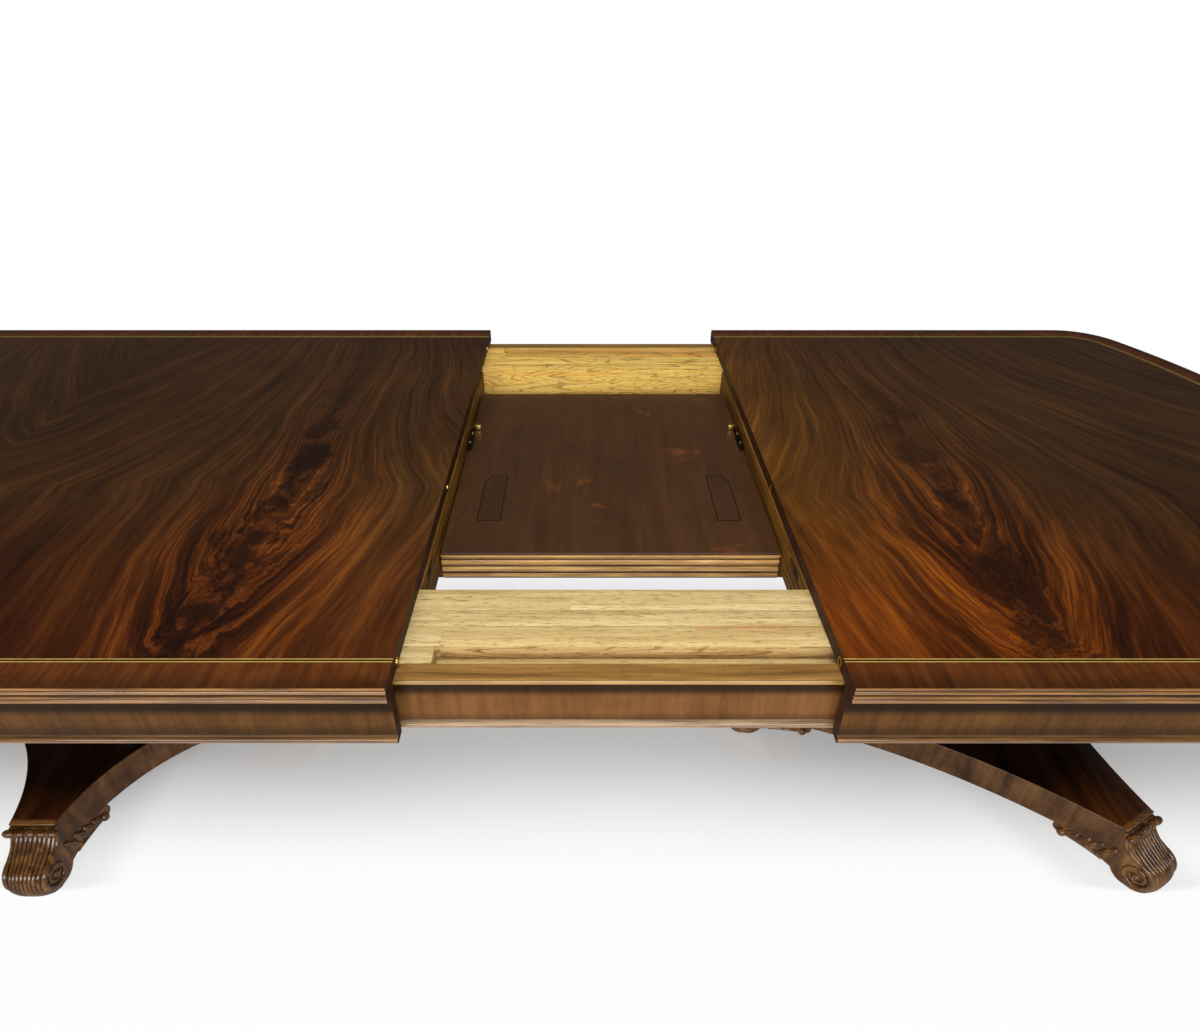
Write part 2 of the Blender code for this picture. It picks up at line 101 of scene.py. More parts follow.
floor_half = 40.0
paper_white = (1.0, 1.0, 1.0, 1.0)
floor_white = (0.88, 0.88, 0.88, 1.0)
plain_near = 2.6
plain_far = 4.2
front_near = -0.05
front_far = -0.40
front_veil = 0.97
behind_near = 0.05
behind_far = 0.80
shadow_veil = 0.25
foot_shadow = 0.2
lobe_end = (0.40, 0.50)
lobe_side = (0.06, 0.16)
lobe_cos = 0.5
lobe_sin = 0.866
end_axis = (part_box("right_column")[0].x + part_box("right_column")[1].x) / 2

shape = bmesh.new()
bmesh.ops.create_grid(shape, x_segments=1, y_segments=1, size=floor_half)
floor_mesh = bpy.data.meshes.new("floor")
shape.to_mesh(floor_mesh)
shape.free()
floor = bpy.data.objects.new("floor", floor_mesh)
bpy.context.scene.collection.objects.link(floor)

floor_paint = bpy.data.materials.new("floor_paint")
floor_paint.use_nodes = True
tree = floor_paint.node_tree
tree.nodes.clear()
place = object_place(tree)
away = node(tree, "VectorMath", {0: place}, operation="LENGTH").outputs["Value"]
flat_place = node(tree, "SeparateXYZ", {0: place}).outputs
across = flat_place["Y"]
veil = eased(tree, across, front_far, front_near, front_veil, shadow_veil)
veil = sums(tree, "MAXIMUM", veil, eased(tree, across, behind_near, behind_far, shadow_veil, 1.0))
veil = sums(tree, "MAXIMUM", veil, eased(tree, away, plain_near, plain_far))

# By the lobes of the three bases the shadow is let through more, as far as each lobe reaches.
beside = sums(tree, "ABSOLUTE", across)
along_table = sums(tree, "ABSOLUTE", flat_place["X"])
by_cross = sums(tree, "ADD", sums(tree, "MINIMUM", along_table, beside),
                eased(tree, sums(tree, "MAXIMUM", along_table, beside), *lobe_end))
past_end = sums(tree, "SUBTRACT", along_table, end_axis)
slanted = sums(tree, "ABSOLUTE", sums(tree, "SUBTRACT", sums(tree, "MULTIPLY", beside, lobe_cos),
                                      sums(tree, "MULTIPLY", past_end, lobe_sin)))
by_end = sums(tree, "ADD", sums(tree, "MINIMUM", slanted, sums(tree, "MAXIMUM", beside, past_end)),
              eased(tree, sums(tree, "MAXIMUM", sums(tree, "ABSOLUTE", past_end), beside), *lobe_end))
by_lobe = eased(tree, sums(tree, "MINIMUM", by_cross, by_end), *lobe_side, foot_shadow, 0.0)
veil = sums(tree, "MULTIPLY", veil, sums(tree, "SUBTRACT", 1.0, by_lobe))
path = node(tree, "LightPath").outputs
seen = sums(tree, "MAXIMUM", path["Is Camera Ray"], path["Is Transmission Ray"])
lit = node(tree, "BsdfDiffuse", {"Color": floor_white})
white = node(tree, "Emission", {"Color": paper_white, "Strength": 1.0})
share = sums(tree, "MULTIPLY", seen, veil)
both = node(tree, "MixShader", {0: share, 1: lit.outputs[0], 2: white.outputs[0]})
node(tree, "OutputMaterial", {"Surface": both.outputs[0]})
floor_mesh.materials.append(floor_paint)

room_dim = 0.10
room = bpy.data.worlds.new("room")
room.use_nodes = True
bpy.context.scene.world = room
tree = room.node_tree
tree.nodes.clear()
path = node(tree, "LightPath").outputs
seen = sums(tree, "MAXIMUM", path["Is Camera Ray"], path["Is Transmission Ray"])
level = sums(tree, "MAXIMUM", seen, room_dim)
glow = node(tree, "Background", {"Color": paper_white, "Strength": level})
node(tree, "OutputWorld", {"Surface": glow.outputs[0]})


def softbox(name, place, target, wide, high, power):
    """A large rectangular lamp turned towards a point."""
    lamp = bpy.data.lights.new(name, "AREA")
    lamp.shape = "RECTANGLE"
    lamp.size = wide
    lamp.size_y = high
    lamp.energy = power
    obj = bpy.data.objects.new(name, lamp)
    obj.location = place
    obj.rotation_euler = (Vector(target) - Vector(place)).to_track_quat("-Z", "Y").to_euler()
    bpy.context.scene.collection.objects.link(obj)


softbox("gap_lamp", (1.05, -0.60, 2.10), (1.05, 0.0, 0.65), 0.9, 0.7, 12.5)
softbox("front_lamp", (0.4, -3.7, 2.0), (0.4, 0.0, 0.5), 4.6, 1.2, 105.0)
softbox("ceiling_lamp", (0.0, 0.0, 4.5), (0.0, 0.0, 0.7), 5.0, 2.4, 58.0)


# Tops: three boards faced with crotch mahogany, whose dark plume runs from the front edge towards the back.
# A crossband lies round the long edges and the bowed ends, inside it a double boxwood string is let in,
# and each moulded edge has two reeds. At the leaf gaps the edges are square, with sockets in the end tops.
def shade(red, green, blue):
    """A linear colour from display values between 0 and 255."""
    parts = []
    for value in (red, green, blue):
        part = value / 255.0
        parts.append(part / 12.92 if part <= 0.04045 else ((part + 0.055) / 1.055) ** 2.4)
    return (*parts, 1.0)


def ramp(tree, factor, *stops):
    """Colours that follow a value, as (position, colour) pairs."""
    made = node(tree, "ValToRGB", {0: factor})
    scale = made.color_ramp.elements
    while len(scale) < len(stops):
        scale.new(0.5)
    for stop, (position, colour) in zip(scale, stops):
        stop.position = position
        stop.color = colour
    return made.outputs["Color"]


def mixed(tree, factor, first, second, how="MIX"):
    """Two colours mixed by a factor."""
    made = node(tree, "Mix", {0: factor, 6: first, 7: second}, data_type="RGBA", blend_type=how)
    return made.outputs[2]


def noise(tree, vector, scale, detail=4.0, roughness=0.55, distortion=0.0):
    """Cloudy noise, with its value and its colour as outputs."""
    sockets = {"Vector": vector, "Scale": scale, "Detail": detail, "Roughness": roughness,
               "Distortion": distortion}
    return node(tree, "TexNoise", sockets)


def streaky(tree, vector, scales, detail=4.0, roughness=0.55, distortion=0.0):
    """Noise with a scale for each axis, drawn out into streaks along the smallest one."""
    drawn = node(tree, "VectorMath", {0: vector, 1: scales}, operation="MULTIPLY").outputs[0]
    return noise(tree, drawn, 1.0, detail, roughness, distortion).outputs["Fac"]


def weighed(tree, first, second, share):
    """Two values added up, of which the first one has a share of the whole."""
    rest = sums(tree, "MULTIPLY", second, 1.0 - share)
    return sums(tree, "ADD", sums(tree, "MULTIPLY", first, share), rest)


def swayed(tree, value, wave, amount, middle=0.5):
    """A value pushed to and fro by how far a wave is from its middle."""
    return sums(tree, "ADD", value, sums(tree, "MULTIPLY", sums(tree, "SUBTRACT", wave, middle), amount))


def new_group(name, inputs, outputs):
    """An empty shader group with its sockets, its input node's wires and its output node."""
    group = bpy.data.node_groups.new(name, "ShaderNodeTree")
    for socket, kind in inputs.items():
        group.interface.new_socket(name=socket, in_out="INPUT", socket_type="NodeSocket" + kind)
    for socket in outputs:
        group.interface.new_socket(name=socket, in_out="OUTPUT", socket_type="NodeSocketFloat")
    return group, group.nodes.new("NodeGroupInput").outputs, group.nodes.new("NodeGroupOutput").inputs


def placed(tree, group, **sockets):
    """A group's outputs, once it stands in a material."""
    return node(tree, "Group", sockets, node_tree=group).outputs


def finish(name, roughness, coat, coat_roughness=0.08, specular=0.2):
    """A new material with its polish. Returns it with its tree and its shader's inputs."""
    mat = bpy.data.materials.new(name)
    mat.use_nodes = True
    tree = mat.node_tree
    shader = tree.nodes["Principled BSDF"]
    shader.inputs["Roughness"].default_value = roughness
    shader.inputs["Specular IOR Level"].default_value = specular
    shader.inputs["Coat Weight"].default_value = coat
    shader.inputs["Coat Roughness"].default_value = coat_roughness
    return mat, tree, shader.inputs


def dressed(tree, surface, colour, sheen, relief, depth):
    """Wire a colour, a roughness and a slight relief, for pores and brush marks, to a shader."""
    tree.links.new(colour, surface["Base Color"])
    tree.links.new(sheen, surface["Roughness"])
    bump = node(tree, "Bump", {"Strength": 1.0, "Distance": depth, "Height": relief})
    tree.links.new(bump.outputs["Normal"], surface["Normal"])


# The figure of a crotch veneer: feathers leave the plume's axis, sweep back along it on both sides
# and close behind it.
bend = 0.060
sway_aside = 0.11
sway_depth = 0.14
plume_break = 0.30
plume_half = 0.085
plume_ragged = 0.19
plume_middle = 0.37
closing_from = 0.45
closing_rate = 3.0
feather_slope = 1.2
front_edge = -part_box("centre_top")[1].y
crotch_figure, given, out = new_group(
    "crotch_figure", {"Vector": "Vector", "Axis": "Float", "Seed": "Float"},
    ("Feathers", "Hair", "Plume", "Flame", "Front", "Outer"))
tree = crotch_figure
flat_place = node(tree, "SeparateXYZ", {0: given["Vector"]}).outputs
along_table = sums(tree, "ABSOLUTE", flat_place["X"])
seeded = node(tree, "CombineXYZ", {0: along_table, 1: flat_place["Y"], 2: given["Seed"]}).outputs[0]
sway = node(tree, "SeparateColor", {0: noise(tree, seeded, 2.6, 2.0, 0.4).outputs["Color"]}).outputs
straight_aside = sums(tree, "SUBTRACT", along_table, given["Axis"])
aside = swayed(tree, straight_aside, sway[0], sway_aside)
straight_depth = sums(tree, "SUBTRACT", flat_place["Y"], front_edge)
depth = swayed(tree, straight_depth, sway[1], sway_depth)
broken = streaky(tree, seeded, (22.0, 13.0, 1.0), 4.0, 0.65)
far_aside = sums(tree, "ABSOLUTE", aside)
depth = swayed(tree, depth, broken, eased(tree, far_aside, 0.0, plume_half, plume_break, 0.0))
behind = sums(tree, "MAXIMUM", sums(tree, "SUBTRACT", depth, closing_from), 0.0)
closing = sums(tree, "ADD", sums(tree, "MULTIPLY", behind, closing_rate), feather_slope)
reach = sums(tree, "MULTIPLY", sums(tree, "DIVIDE", aside, bend), closing)
spread = sums(tree, "SQRT", sums(tree, "ADD", sums(tree, "MULTIPLY", reach, reach), 1.0))
sweep = sums(tree, "SUBTRACT", sums(tree, "DIVIDE", depth, spread),
             sums(tree, "MULTIPLY", sums(tree, "SUBTRACT", spread, 1.0), bend))
drift = sums(tree, "MULTIPLY", depth, 0.10)
flow = node(tree, "CombineXYZ", {0: sweep, 1: drift, 2: given["Seed"]}).outputs[0]
broad = noise(tree, flow, 17.0, 2.0, 0.5, 0.2).outputs["Fac"]
fine = noise(tree, flow, 52.0, 3.0, 0.6, 0.3).outputs["Fac"]
tree.links.new(weighed(tree, broad, fine, 0.48), out["Feathers"])
tree.links.new(noise(tree, flow, 190.0, 3.0, 0.65, 0.1).outputs["Fac"], out["Hair"])
ragged = streaky(tree, seeded, (16.0, 11.0, 1.0), 4.0, 0.65)
edge = swayed(tree, far_aside, ragged, -plume_ragged, plume_middle)
tree.links.new(sums(tree, "MULTIPLY", eased(tree, edge, -0.020, 0.016, 1.0, 0.0),
                    eased(tree, straight_depth, 0.55, 1.0, 1.0, 0.25)), out["Plume"])
flame = sums(tree, "MULTIPLY", eased(tree, far_aside, 0.03, 0.19, 1.0, 0.0),
             eased(tree, straight_depth, 0.16, 0.80, 1.0, 0.08))
tree.links.new(flame, out["Flame"])
tree.links.new(eased(tree, straight_depth, 0.04, 0.50, 1.0, 0.0), out["Front"])
tree.links.new(eased(tree, straight_aside, -0.45, 0.10, 1.0, 0.0), out["Outer"])

crotch_axes = {"centre": 0.530, "right": 1.590, "left": 1.590, "right_leaf": 1.060, "left_leaf": 1.060}


def crotch_veneer(owner, seed, warmth, outer, inner, far, dark):
    """Glossy veneer whose figure is bright by the plume and calm and dark further off.

    The outer colour tints the side of the plume that lies nearer to the table's middle, and the inner one the
    other side. Far is how much of the outer tint is left at the back, and dark how strong the plume is.
    """
    mat, tree, surface = finish(f"{owner}_crotch_veneer", 0.34, 0.14, 0.10, 0.07)
    place = object_place(tree)
    figure = placed(tree, crotch_figure, Vector=place, Axis=crotch_axes[owner], Seed=seed)
    bands = weighed(tree, figure["Feathers"], figure["Hair"], 0.78)
    calm = ramp(tree, bands, (0.36, shade(47, 28, 9)), (0.50, shade(71, 44, 18)), (0.64, shade(96, 61, 27)))
    near = ramp(tree, bands, (0.36, shade(52, 21, 6)), (0.50, shade(84, 41, 13)), (0.64, shade(124, 66, 20)))
    flame = ramp(tree, bands, (0.38, shade(36, 15, 5)), (0.48, shade(68, 31, 9)), (0.56, shade(118, 60, 16)),
                 (0.66, shade(176, 101, 29)))
    colour = mixed(tree, sums(tree, "MULTIPLY", figure["Front"], warmth), calm, near)
    colour = mixed(tree, figure["Flame"], colour, flame)
    by_front = sums(tree, "ADD", sums(tree, "MULTIPLY", figure["Front"], 1.0 - far), far)
    inward = sums(tree, "MULTIPLY", figure["Outer"], by_front)
    colour = mixed(tree, inward, colour, mixed(tree, 1.0, colour, outer, "MULTIPLY"))
    outward = sums(tree, "MULTIPLY", sums(tree, "SUBTRACT", 1.0, figure["Outer"]), figure["Front"])
    colour = mixed(tree, outward, colour, mixed(tree, 1.0, colour, inner, "MULTIPLY"))
    colour = mixed(tree, sums(tree, "MULTIPLY", figure["Plume"], dark), colour, shade(30, 14, 6))
    clouds = noise(tree, place, 2.6, 2.0).outputs["Fac"]
    shades = ramp(tree, clouds, (0.30, shade(205, 200, 198)), (0.70, shade(255, 253, 250)))
    sheen = eased(tree, figure["Hair"], 0.2, 0.8, 0.31, 0.40)
    dressed(tree, surface, mixed(tree, 1.0, colour, shades, "MULTIPLY"), sheen, figure["Hair"], 0.00003)
    return mat


# The crossband's grain lies square to the edge, so it follows the band's own map of run and inset.
def run_place(tree):
    """How far along a piece and how far in or up a point lies."""
    return node(tree, "UVMap", uv_map="run").outputs["UV"]


cross_grain, given, out = new_group("cross_grain", {"Vector": "Vector"}, ("Streaks", "Mottle", "Pores"))
tree = cross_grain
tree.links.new(streaky(tree, given["Vector"], (95.0, 7.0, 1.0), 4.0, 0.6, 0.3), out["Streaks"])
tree.links.new(streaky(tree, given["Vector"], (9.0, 16.0, 1.0), 4.0, 0.6, 0.6), out["Mottle"])
tree.links.new(streaky(tree, given["Vector"], (900.0, 60.0, 1.0), 2.0), out["Pores"])

# Hollows found by ambient occlusion are darkened: partly the glaze and tarnish that wood and brass keep
# there, partly painted shade.
hollow_glaze_and_shade, given, out = new_group("hollow_glaze_and_shade", {"Reach": "Float", "Strength": "Float"}, ("Hollow",))
tree = hollow_glaze_and_shade
shut = node(tree, "AmbientOcclusion", {"Distance": given["Reach"]}, samples=8).outputs["AO"]
deep = eased(tree, shut, 0.35, 0.95, 1.0, 0.0)
tree.links.new(sums(tree, "MULTIPLY", deep, given["Strength"]), out["Hollow"])


def cross_veneer(name, deep, middle, light, darkened_bands=(), roughness=0.38, coat=0.06):
    """Veneer with its grain square to the run of the piece, mottled and with short pores.

    Each darkened band is (low, high, at low, at high), with how dark it is at two places across the run.
    """
    mat, tree, surface = finish(name, roughness, coat, specular=0.07)
    grain = placed(tree, cross_grain, Vector=run_place(tree))
    figure = weighed(tree, grain["Streaks"], grain["Mottle"], 0.55)
    colour = ramp(tree, figure, (0.28, deep), (0.50, middle), (0.72, light))
    colour = mixed(tree, eased(tree, grain["Pores"], 0.56, 0.70, 0.0, 0.4), colour, deep)
    level = node(tree, "SeparateXYZ", {0: run_place(tree)}).outputs["Y"]
    for zone in darkened_bands:
        colour = mixed(tree, eased(tree, level, *zone), colour, shade(20, 11, 6))
    sheen = eased(tree, grain["Mottle"], 0.3, 0.7, roughness - 0.06, roughness + 0.06)
    dressed(tree, surface, colour, sheen, grain["Pores"], -0.00004)
    return mat


def polished_moulding(name, deep, light, reach=0.005, strength=0.95):
    """Worked mahogany, darkened in its hollows by glaze and painted shade, with a bright polish on its
    rounds.
    """
    mat, tree, surface = finish(name, 0.26, 0.7, 0.07, 0.4)
    place = object_place(tree)
    streaks = streaky(tree, place, (9.0, 160.0, 160.0), 4.0, 0.6, 0.2)
    colour = ramp(tree, streaks, (0.35, deep), (0.65, light))
    darkened_hollows = placed(tree, hollow_glaze_and_shade, Reach=reach, Strength=strength)
    colour = mixed(tree, darkened_hollows["Hollow"], colour, shade(22, 11, 6))
    sheen = eased(tree, darkened_hollows["Hollow"], 0.0, 1.0, 0.22, 0.60)
    dressed(tree, surface, colour, sheen, streaks, 0.00005)
    return mat


string_width = 0.0013
outer_string = 0.0453
inner_string = 0.0500
edge_ease = 0.0008
edge_fillet = 0.0030
edge_quirk = 0.0013
reed_depth = 0.0042
reed_turns = 8
edge_thick = 0.027
lip_back = 0.0145
low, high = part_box("centre_top")
half_width = high.y
centre_half = high.x
board_bottom = low.z
board_top = high.z


def arc(centre, radius, start, stop, steps):
    """Points along an arc, with its angles in degrees."""
    points = []
    for step in range(steps + 1):
        angle = math.radians(start + (stop - start) * step / steps)
        points.append((centre[0] + radius * math.cos(angle), centre[1] + radius * math.sin(angle)))
    return points


def reeded_edge(bottom, top, fillet):
    """The moulded edge from top to bottom as (inset, height): two reeds, each below a fillet or a quirk."""
    half = (top - bottom) / 2
    reed = (half - fillet - 2.0 * edge_quirk) / 2
    points = []
    for level in (top, top - half):
        if fillet:
            points += [(edge_ease, level), (0.0, level - edge_ease), (0.0, level - fillet)]
        points.append((reed_depth, level - fillet))
        for across, upward in arc((0.0, 0.0), 1.0, 90.0, -90.0, reed_turns):
            points.append((reed_depth * (1.0 - across), level - half + edge_quirk + reed * (1.0 + upward)))
    return points


inlay = [(inner_string + string_width / 2, board_top), (inner_string - string_width / 2, board_top),
         (outer_string + string_width / 2, board_top), (outer_string - string_width / 2, board_top)]
edge_bottom = board_top - edge_thick
board_edge = reeded_edge(edge_bottom, board_top, edge_fillet)
board_section = inlay + board_edge + [(lip_back, edge_bottom), (lip_back, board_bottom)]
field, crossband, string, fillet, moulding, underside = range(6)
inlay_slots = [string, fillet, string, crossband]
board_slots = inlay_slots + [moulding] * (len(board_edge) - 1) + [underside] * 2


def swept(shape, lines, closed, slots=None):
    """Draw a line of points and extrude it to each later line, with a material slot for each segment."""
    row = [shape.verts.new(point) for point in lines[0]]
    rows = [row]
    for line in lines[1:]:
        pairs = list(zip(row, row[1:])) + ([(row[-1], row[0])] if closed else [])
        edges = [shape.edges.get(pair) or shape.edges.new(pair) for pair in pairs]
        grown = set(bmesh.ops.extrude_edge_only(shape, edges=edges)["geom"])
        for edge, slot in zip(edges, slots or [0] * len(edges)):
            for face in edge.link_faces:
                if face in grown:
                    face.material_index = slot
        row = [next(edge.other_vert(vert) for edge in vert.link_edges if edge.other_vert(vert) in grown)
               for vert in row]
        for vert, point in zip(row, line):
            vert.co = point
        rows.append(row)
    return rows


def capped(shape, loop, slot=0):
    """Close a ring of points with one face."""
    edges = []
    for pair in zip(loop, loop[1:] + loop[:1]):
        edges.append(shape.edges.get(pair) or shape.edges.new(pair))
    for face in bmesh.ops.contextual_create(shape, geom=edges)["faces"]:
        face.material_index = slot


def map_run(shape, rows, runs, insets):
    """Give every corner the run along the piece and the inset from its edge, as a map."""
    layer = shape.loops.layers.uv.new("run")
    for row, run in zip(rows, runs):
        for vert, inset in zip(row, insets):
            for loop in vert.link_loops:
                loop[layer].uv = (run, inset)


def piece(name, shape, looks, body, slot, *nodes, angle=32.0):
    """Make a finished mesh an object that rides on a body and stands for its CAD nodes."""
    bmesh.ops.recalc_face_normals(shape, faces=shape.faces)
    mesh = bpy.data.meshes.new(name)
    shape.to_mesh(mesh)
    shape.free()
    mesh.shade_smooth()
    mesh.set_sharp_from_angle(angle=math.radians(angle))
    for look in looks:
        mesh.materials.append(look)
    obj = bpy.data.objects.new(name, mesh)
    bpy.context.scene.collection.objects.link(obj)
    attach(obj, body)
    if nodes:
        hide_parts(*nodes)
    return obj


crossband_veneer = cross_veneer("crossband_veneer", shade(46, 22, 8), shade(88, 46, 17), shade(116, 66, 27),
                                [(0.004, 0.030, 0.45, 0.0)])
boxwood_string, tree, surface = finish("boxwood_string", 0.42, 0.2)
tint = streaky(tree, run_place(tree), (60.0, 900.0, 1.0))
colour = ramp(tree, tint, (0.3, shade(178, 146, 58)), (0.7, shade(226, 200, 112)))
tree.links.new(colour, surface["Base Color"])
fillet_veneer = cross_veneer("fillet_veneer", shade(36, 17, 8), shade(60, 30, 13), shade(84, 43, 19))
# The reeds' light colour is partly painted highlight.
edge_reeds = polished_moulding("edge_reeds", shade(108, 69, 30), shade(184, 130, 68), strength=1.0)
plain_under, tree, surface = finish("plain_underside", 0.6, 0.0)
tint = streaky(tree, object_place(tree), (4.0, 60.0, 60.0))
tree.links.new(ramp(tree, tint, (0.3, shade(44, 24, 13)), (0.7, shade(74, 43, 23))), surface["Base Color"])


def board_looks(owner, *figure):
    """The looks of a board's field, crossband, strings, fillet between them, edge and underside."""
    return [crotch_veneer(owner, *figure), crossband_veneer, boxwood_string, fillet_veneer, edge_reeds,
            plain_under]


dusky = (0.52, 0.33, 0.15, 1.0)
golden = (2.40, 2.20, 0.95, 1.0)
shaded = (0.66, 0.60, 0.40, 1.0)
even = (1.0, 1.0, 1.0, 1.0)
shape = bmesh.new()
front = [(inset - half_width, height) for inset, height in board_section]
back = [(half_width - inset, height) for inset, height in reversed(board_section)]
stations = (-centre_half, centre_half)
rows = swept(shape, [[(x, y, z) for y, z in front + back] for x in stations], True,
             board_slots + [underside] + board_slots[::-1] + [field])
for row in (rows[0], rows[-1][::-1]):
    capped(shape, row, underside)
insets = [inset for inset, height in board_section]
map_run(shape, rows, stations, insets + insets[::-1])
looks = board_looks("centre", 3.0, 0.8, dusky, even, 0.3, 0.86)
piece("centre_top_board", shape, looks, "centre", "crotch_mahogany", "centre_top")

end_length = 1.040
bow_radius = 1.450
corner_radius = 0.120
corner_turns = 14
bow_turns = 36
end_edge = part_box("right_top")[0].x


def end_path(inset):
    """The front corner, the bow and the back corner of the right end, drawn in by an inset."""
    bow_centre = end_edge + end_length - bow_radius
    corner_y = half_width - corner_radius
    out_to = math.sqrt((bow_radius - corner_radius) ** 2 - corner_y ** 2)
    turn = math.degrees(math.atan2(corner_y, out_to))
    corner_x = bow_centre + out_to
    front = arc((corner_x, -corner_y), corner_radius - inset, -90.0, -turn, corner_turns)
    bow = arc((bow_centre, 0.0), bow_radius - inset, -turn, turn, bow_turns)
    back = arc((corner_x, corner_y), corner_radius - inset, turn, 90.0, corner_turns)
    return front + bow[1:-1] + back


def run_lengths(points):
    """How far along a path each of its points lies."""
    runs = [0.0]
    for first, second in zip(points, points[1:]):
        runs.append(runs[-1] + math.dist(first, second))
    return runs


def drilled(obj, radius, places, low_x, high_x):
    """Drill round holes along X into a piece, at the given places across and up."""
    for y, z in places:
        shape = bmesh.new()
        turn = Matrix.Translation(((low_x + high_x) / 2, y, z)) @ Matrix.Rotation(math.pi / 2, 4, "Y")
        bmesh.ops.create_cone(shape, cap_ends=True, segments=24, radius1=radius, radius2=radius,
                              depth=high_x - low_x, matrix=turn)
        mesh = bpy.data.meshes.new("drill")
        shape.to_mesh(mesh)
        shape.free()
        drill = bpy.data.objects.new("drill", mesh)
        bpy.context.scene.collection.objects.link(drill)
        hole = obj.modifiers.new("hole", "BOOLEAN")
        hole.object = drill
        bpy.context.view_layer.update()
        bored = bpy.data.meshes.new_from_object(obj.evaluated_get(bpy.context.evaluated_depsgraph_get()))
        obj.modifiers.clear()
        obj.data = bored
        bpy.data.objects.remove(drill)


socket_radius = 0.0046
socket_deep = 0.006
sides = {"right": 1, "left": -1}
pin_names = ("front", "middle", "back")
pin_places = []
for place in pin_names:
    low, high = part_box(f"right_pin_{place}")
    pin_places.append(((low.y + high.y) / 2, (low.z + high.z) / 2))

for side, sign in sides.items():
    shape = bmesh.new()
    paths = []
    for inset, height in board_section:
        edge = half_width - inset
        path = [(end_edge, -edge)] + end_path(inset) + [(end_edge, edge)]
        paths.append([(sign * x, y, height) for x, y in path])
    lines = list(zip(*paths))
    rows = swept(shape, lines, False, board_slots)
    capped(shape, [row[0] for row in rows], field)
    capped(shape, [row[-1] for row in rows], underside)
    capped(shape, rows[0] + rows[-1][::-1], underside)
    map_run(shape, rows, run_lengths([line[0] for line in lines]), insets)
    looks = board_looks(side, 8.0 + sign, 1.0, golden, shaded, 0.85, 0.58)
    obj = piece(f"{side}_top_board", shape, looks, f"{side}_end", "crotch_mahogany", f"{side}_top")
    mouths = sorted((sign * (end_edge - socket_deep), sign * (end_edge + socket_deep)))
    drilled(obj, socket_radius, pin_places, *mouths)


# Brass: six turned pins with a collar stand out of the centre top's edges at the leaf gaps, and a thin ring
# lines each socket in the end tops. They line up the tops, or the leaf between them.
pin_radius = 0.004
pin_stub = 0.004
pin_root = 0.020
collar_radius = 0.0058
collar_proud = 0.0005
ring_radius = 0.0066
ring_proud = 0.0003
ring_deep = 0.004
turning_steps = 28


def lathe(shape, profile, steps, place, closed=False):
    """Turn a profile of (radius, height) pairs about its own axis, then put it in its place."""
    before = set(shape.verts)
    verts = [shape.verts.new((radius, 0.0, height)) for radius, height in profile]
    edges = [shape.edges.new(pair) for pair in zip(verts, verts[1:])]
    if closed:
        edges.append(shape.edges.new((verts[-1], verts[0])))
    bmesh.ops.spin(shape, geom=verts + edges, cent=(0.0, 0.0, 0.0), axis=(0.0, 0.0, 1.0), angle=2.0 * math.pi,
                   steps=steps, use_merge=True)
    bmesh.ops.remove_doubles(shape, verts=[vert for vert in shape.verts if vert not in before], dist=1e-6)
    bmesh.ops.transform(shape, matrix=place, verts=[vert for vert in shape.verts if vert not in before])


def brass_finish(name, bright, dull, roughness):
    """Brass darkened in its corners by tarnish and painted shade, with a fine unevenness in its polish."""
    mat, tree, surface = finish(name, roughness, 0.0, specular=0.5)
    surface["Metallic"].default_value = 1.0
    spots = noise(tree, object_place(tree), 260.0, 3.0).outputs["Fac"]
    colour = ramp(tree, spots, (0.35, dull), (0.62, bright))
    darkened_hollows = placed(tree, hollow_glaze_and_shade, Reach=0.003, Strength=0.7)
    sheen = eased(tree, spots, 0.3, 0.7, roughness + 0.1, roughness - 0.06)
    dressed(tree, surface, mixed(tree, darkened_hollows["Hollow"], colour, shade(58, 40, 16)), sheen, spots, 0.00004)
    return mat


bright_brass = brass_finish("bright_brass", shade(255, 226, 142), shade(214, 166, 78), 0.22)
pin_profile = [(0.0, pin_stub), (pin_radius * 0.45, pin_stub * 0.93), (pin_radius * 0.80, pin_stub * 0.72),
               (pin_radius, pin_stub * 0.36), (pin_radius, collar_proud), (collar_radius, collar_proud * 0.8),
               (collar_radius, -collar_proud), (pin_radius, -collar_proud), (pin_radius, -pin_root),
               (0.0, -pin_root)]
ring_profile = [(socket_radius, -ring_deep), (socket_radius, 0.0), (socket_radius + ring_proud, ring_proud),
                (ring_radius - ring_proud, ring_proud), (ring_radius, 0.0), (ring_radius, -ring_deep)]
for side, sign in sides.items():
    for (y, z), place in zip(pin_places, pin_names):
        shape = bmesh.new()
        home = Matrix.Translation((sign * centre_half, y, z)) @ Matrix.Rotation(sign * math.pi / 2, 4, "Y")
        lathe(shape, pin_profile, turning_steps, home)
        piece(f"{side}_{place}_pin_turned", shape, [bright_brass], "centre", "brass", f"{side}_pin_{place}")
        shape = bmesh.new()
        home = Matrix.Translation((sign * end_edge, y, z)) @ Matrix.Rotation(-sign * math.pi / 2, 4, "Y")
        lathe(shape, ring_profile, turning_steps, home, closed=True)
        piece(f"{side}_{place}_socket_ring", shape, [bright_brass], f"{side}_end", "brass")


# Aprons: straight rails under the long edges and a bent rail round each bowed end, all faced with mahogany
# whose grain stands upright. A small quirked bead is worked along the lower edge and catches the light.
apron_face = 0.015
apron_back = 0.033
bead_radius = 0.0045
quirk = 0.0020
bead_turns = 10
low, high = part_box("centre_apron_front")
apron_bottom = low.z
hang_level = high.z


def beaded_face(face, bottom):
    """The lower edge of a face, down over a small groove and round the bead, as (inset, height)."""
    bead_top = bottom + 2.0 * bead_radius
    groove = [(face, bead_top + 2.0 * quirk), (face + quirk, bead_top + quirk)]
    return groove + arc((face, bottom + bead_radius), bead_radius, 90.0, 270.0, bead_turns)


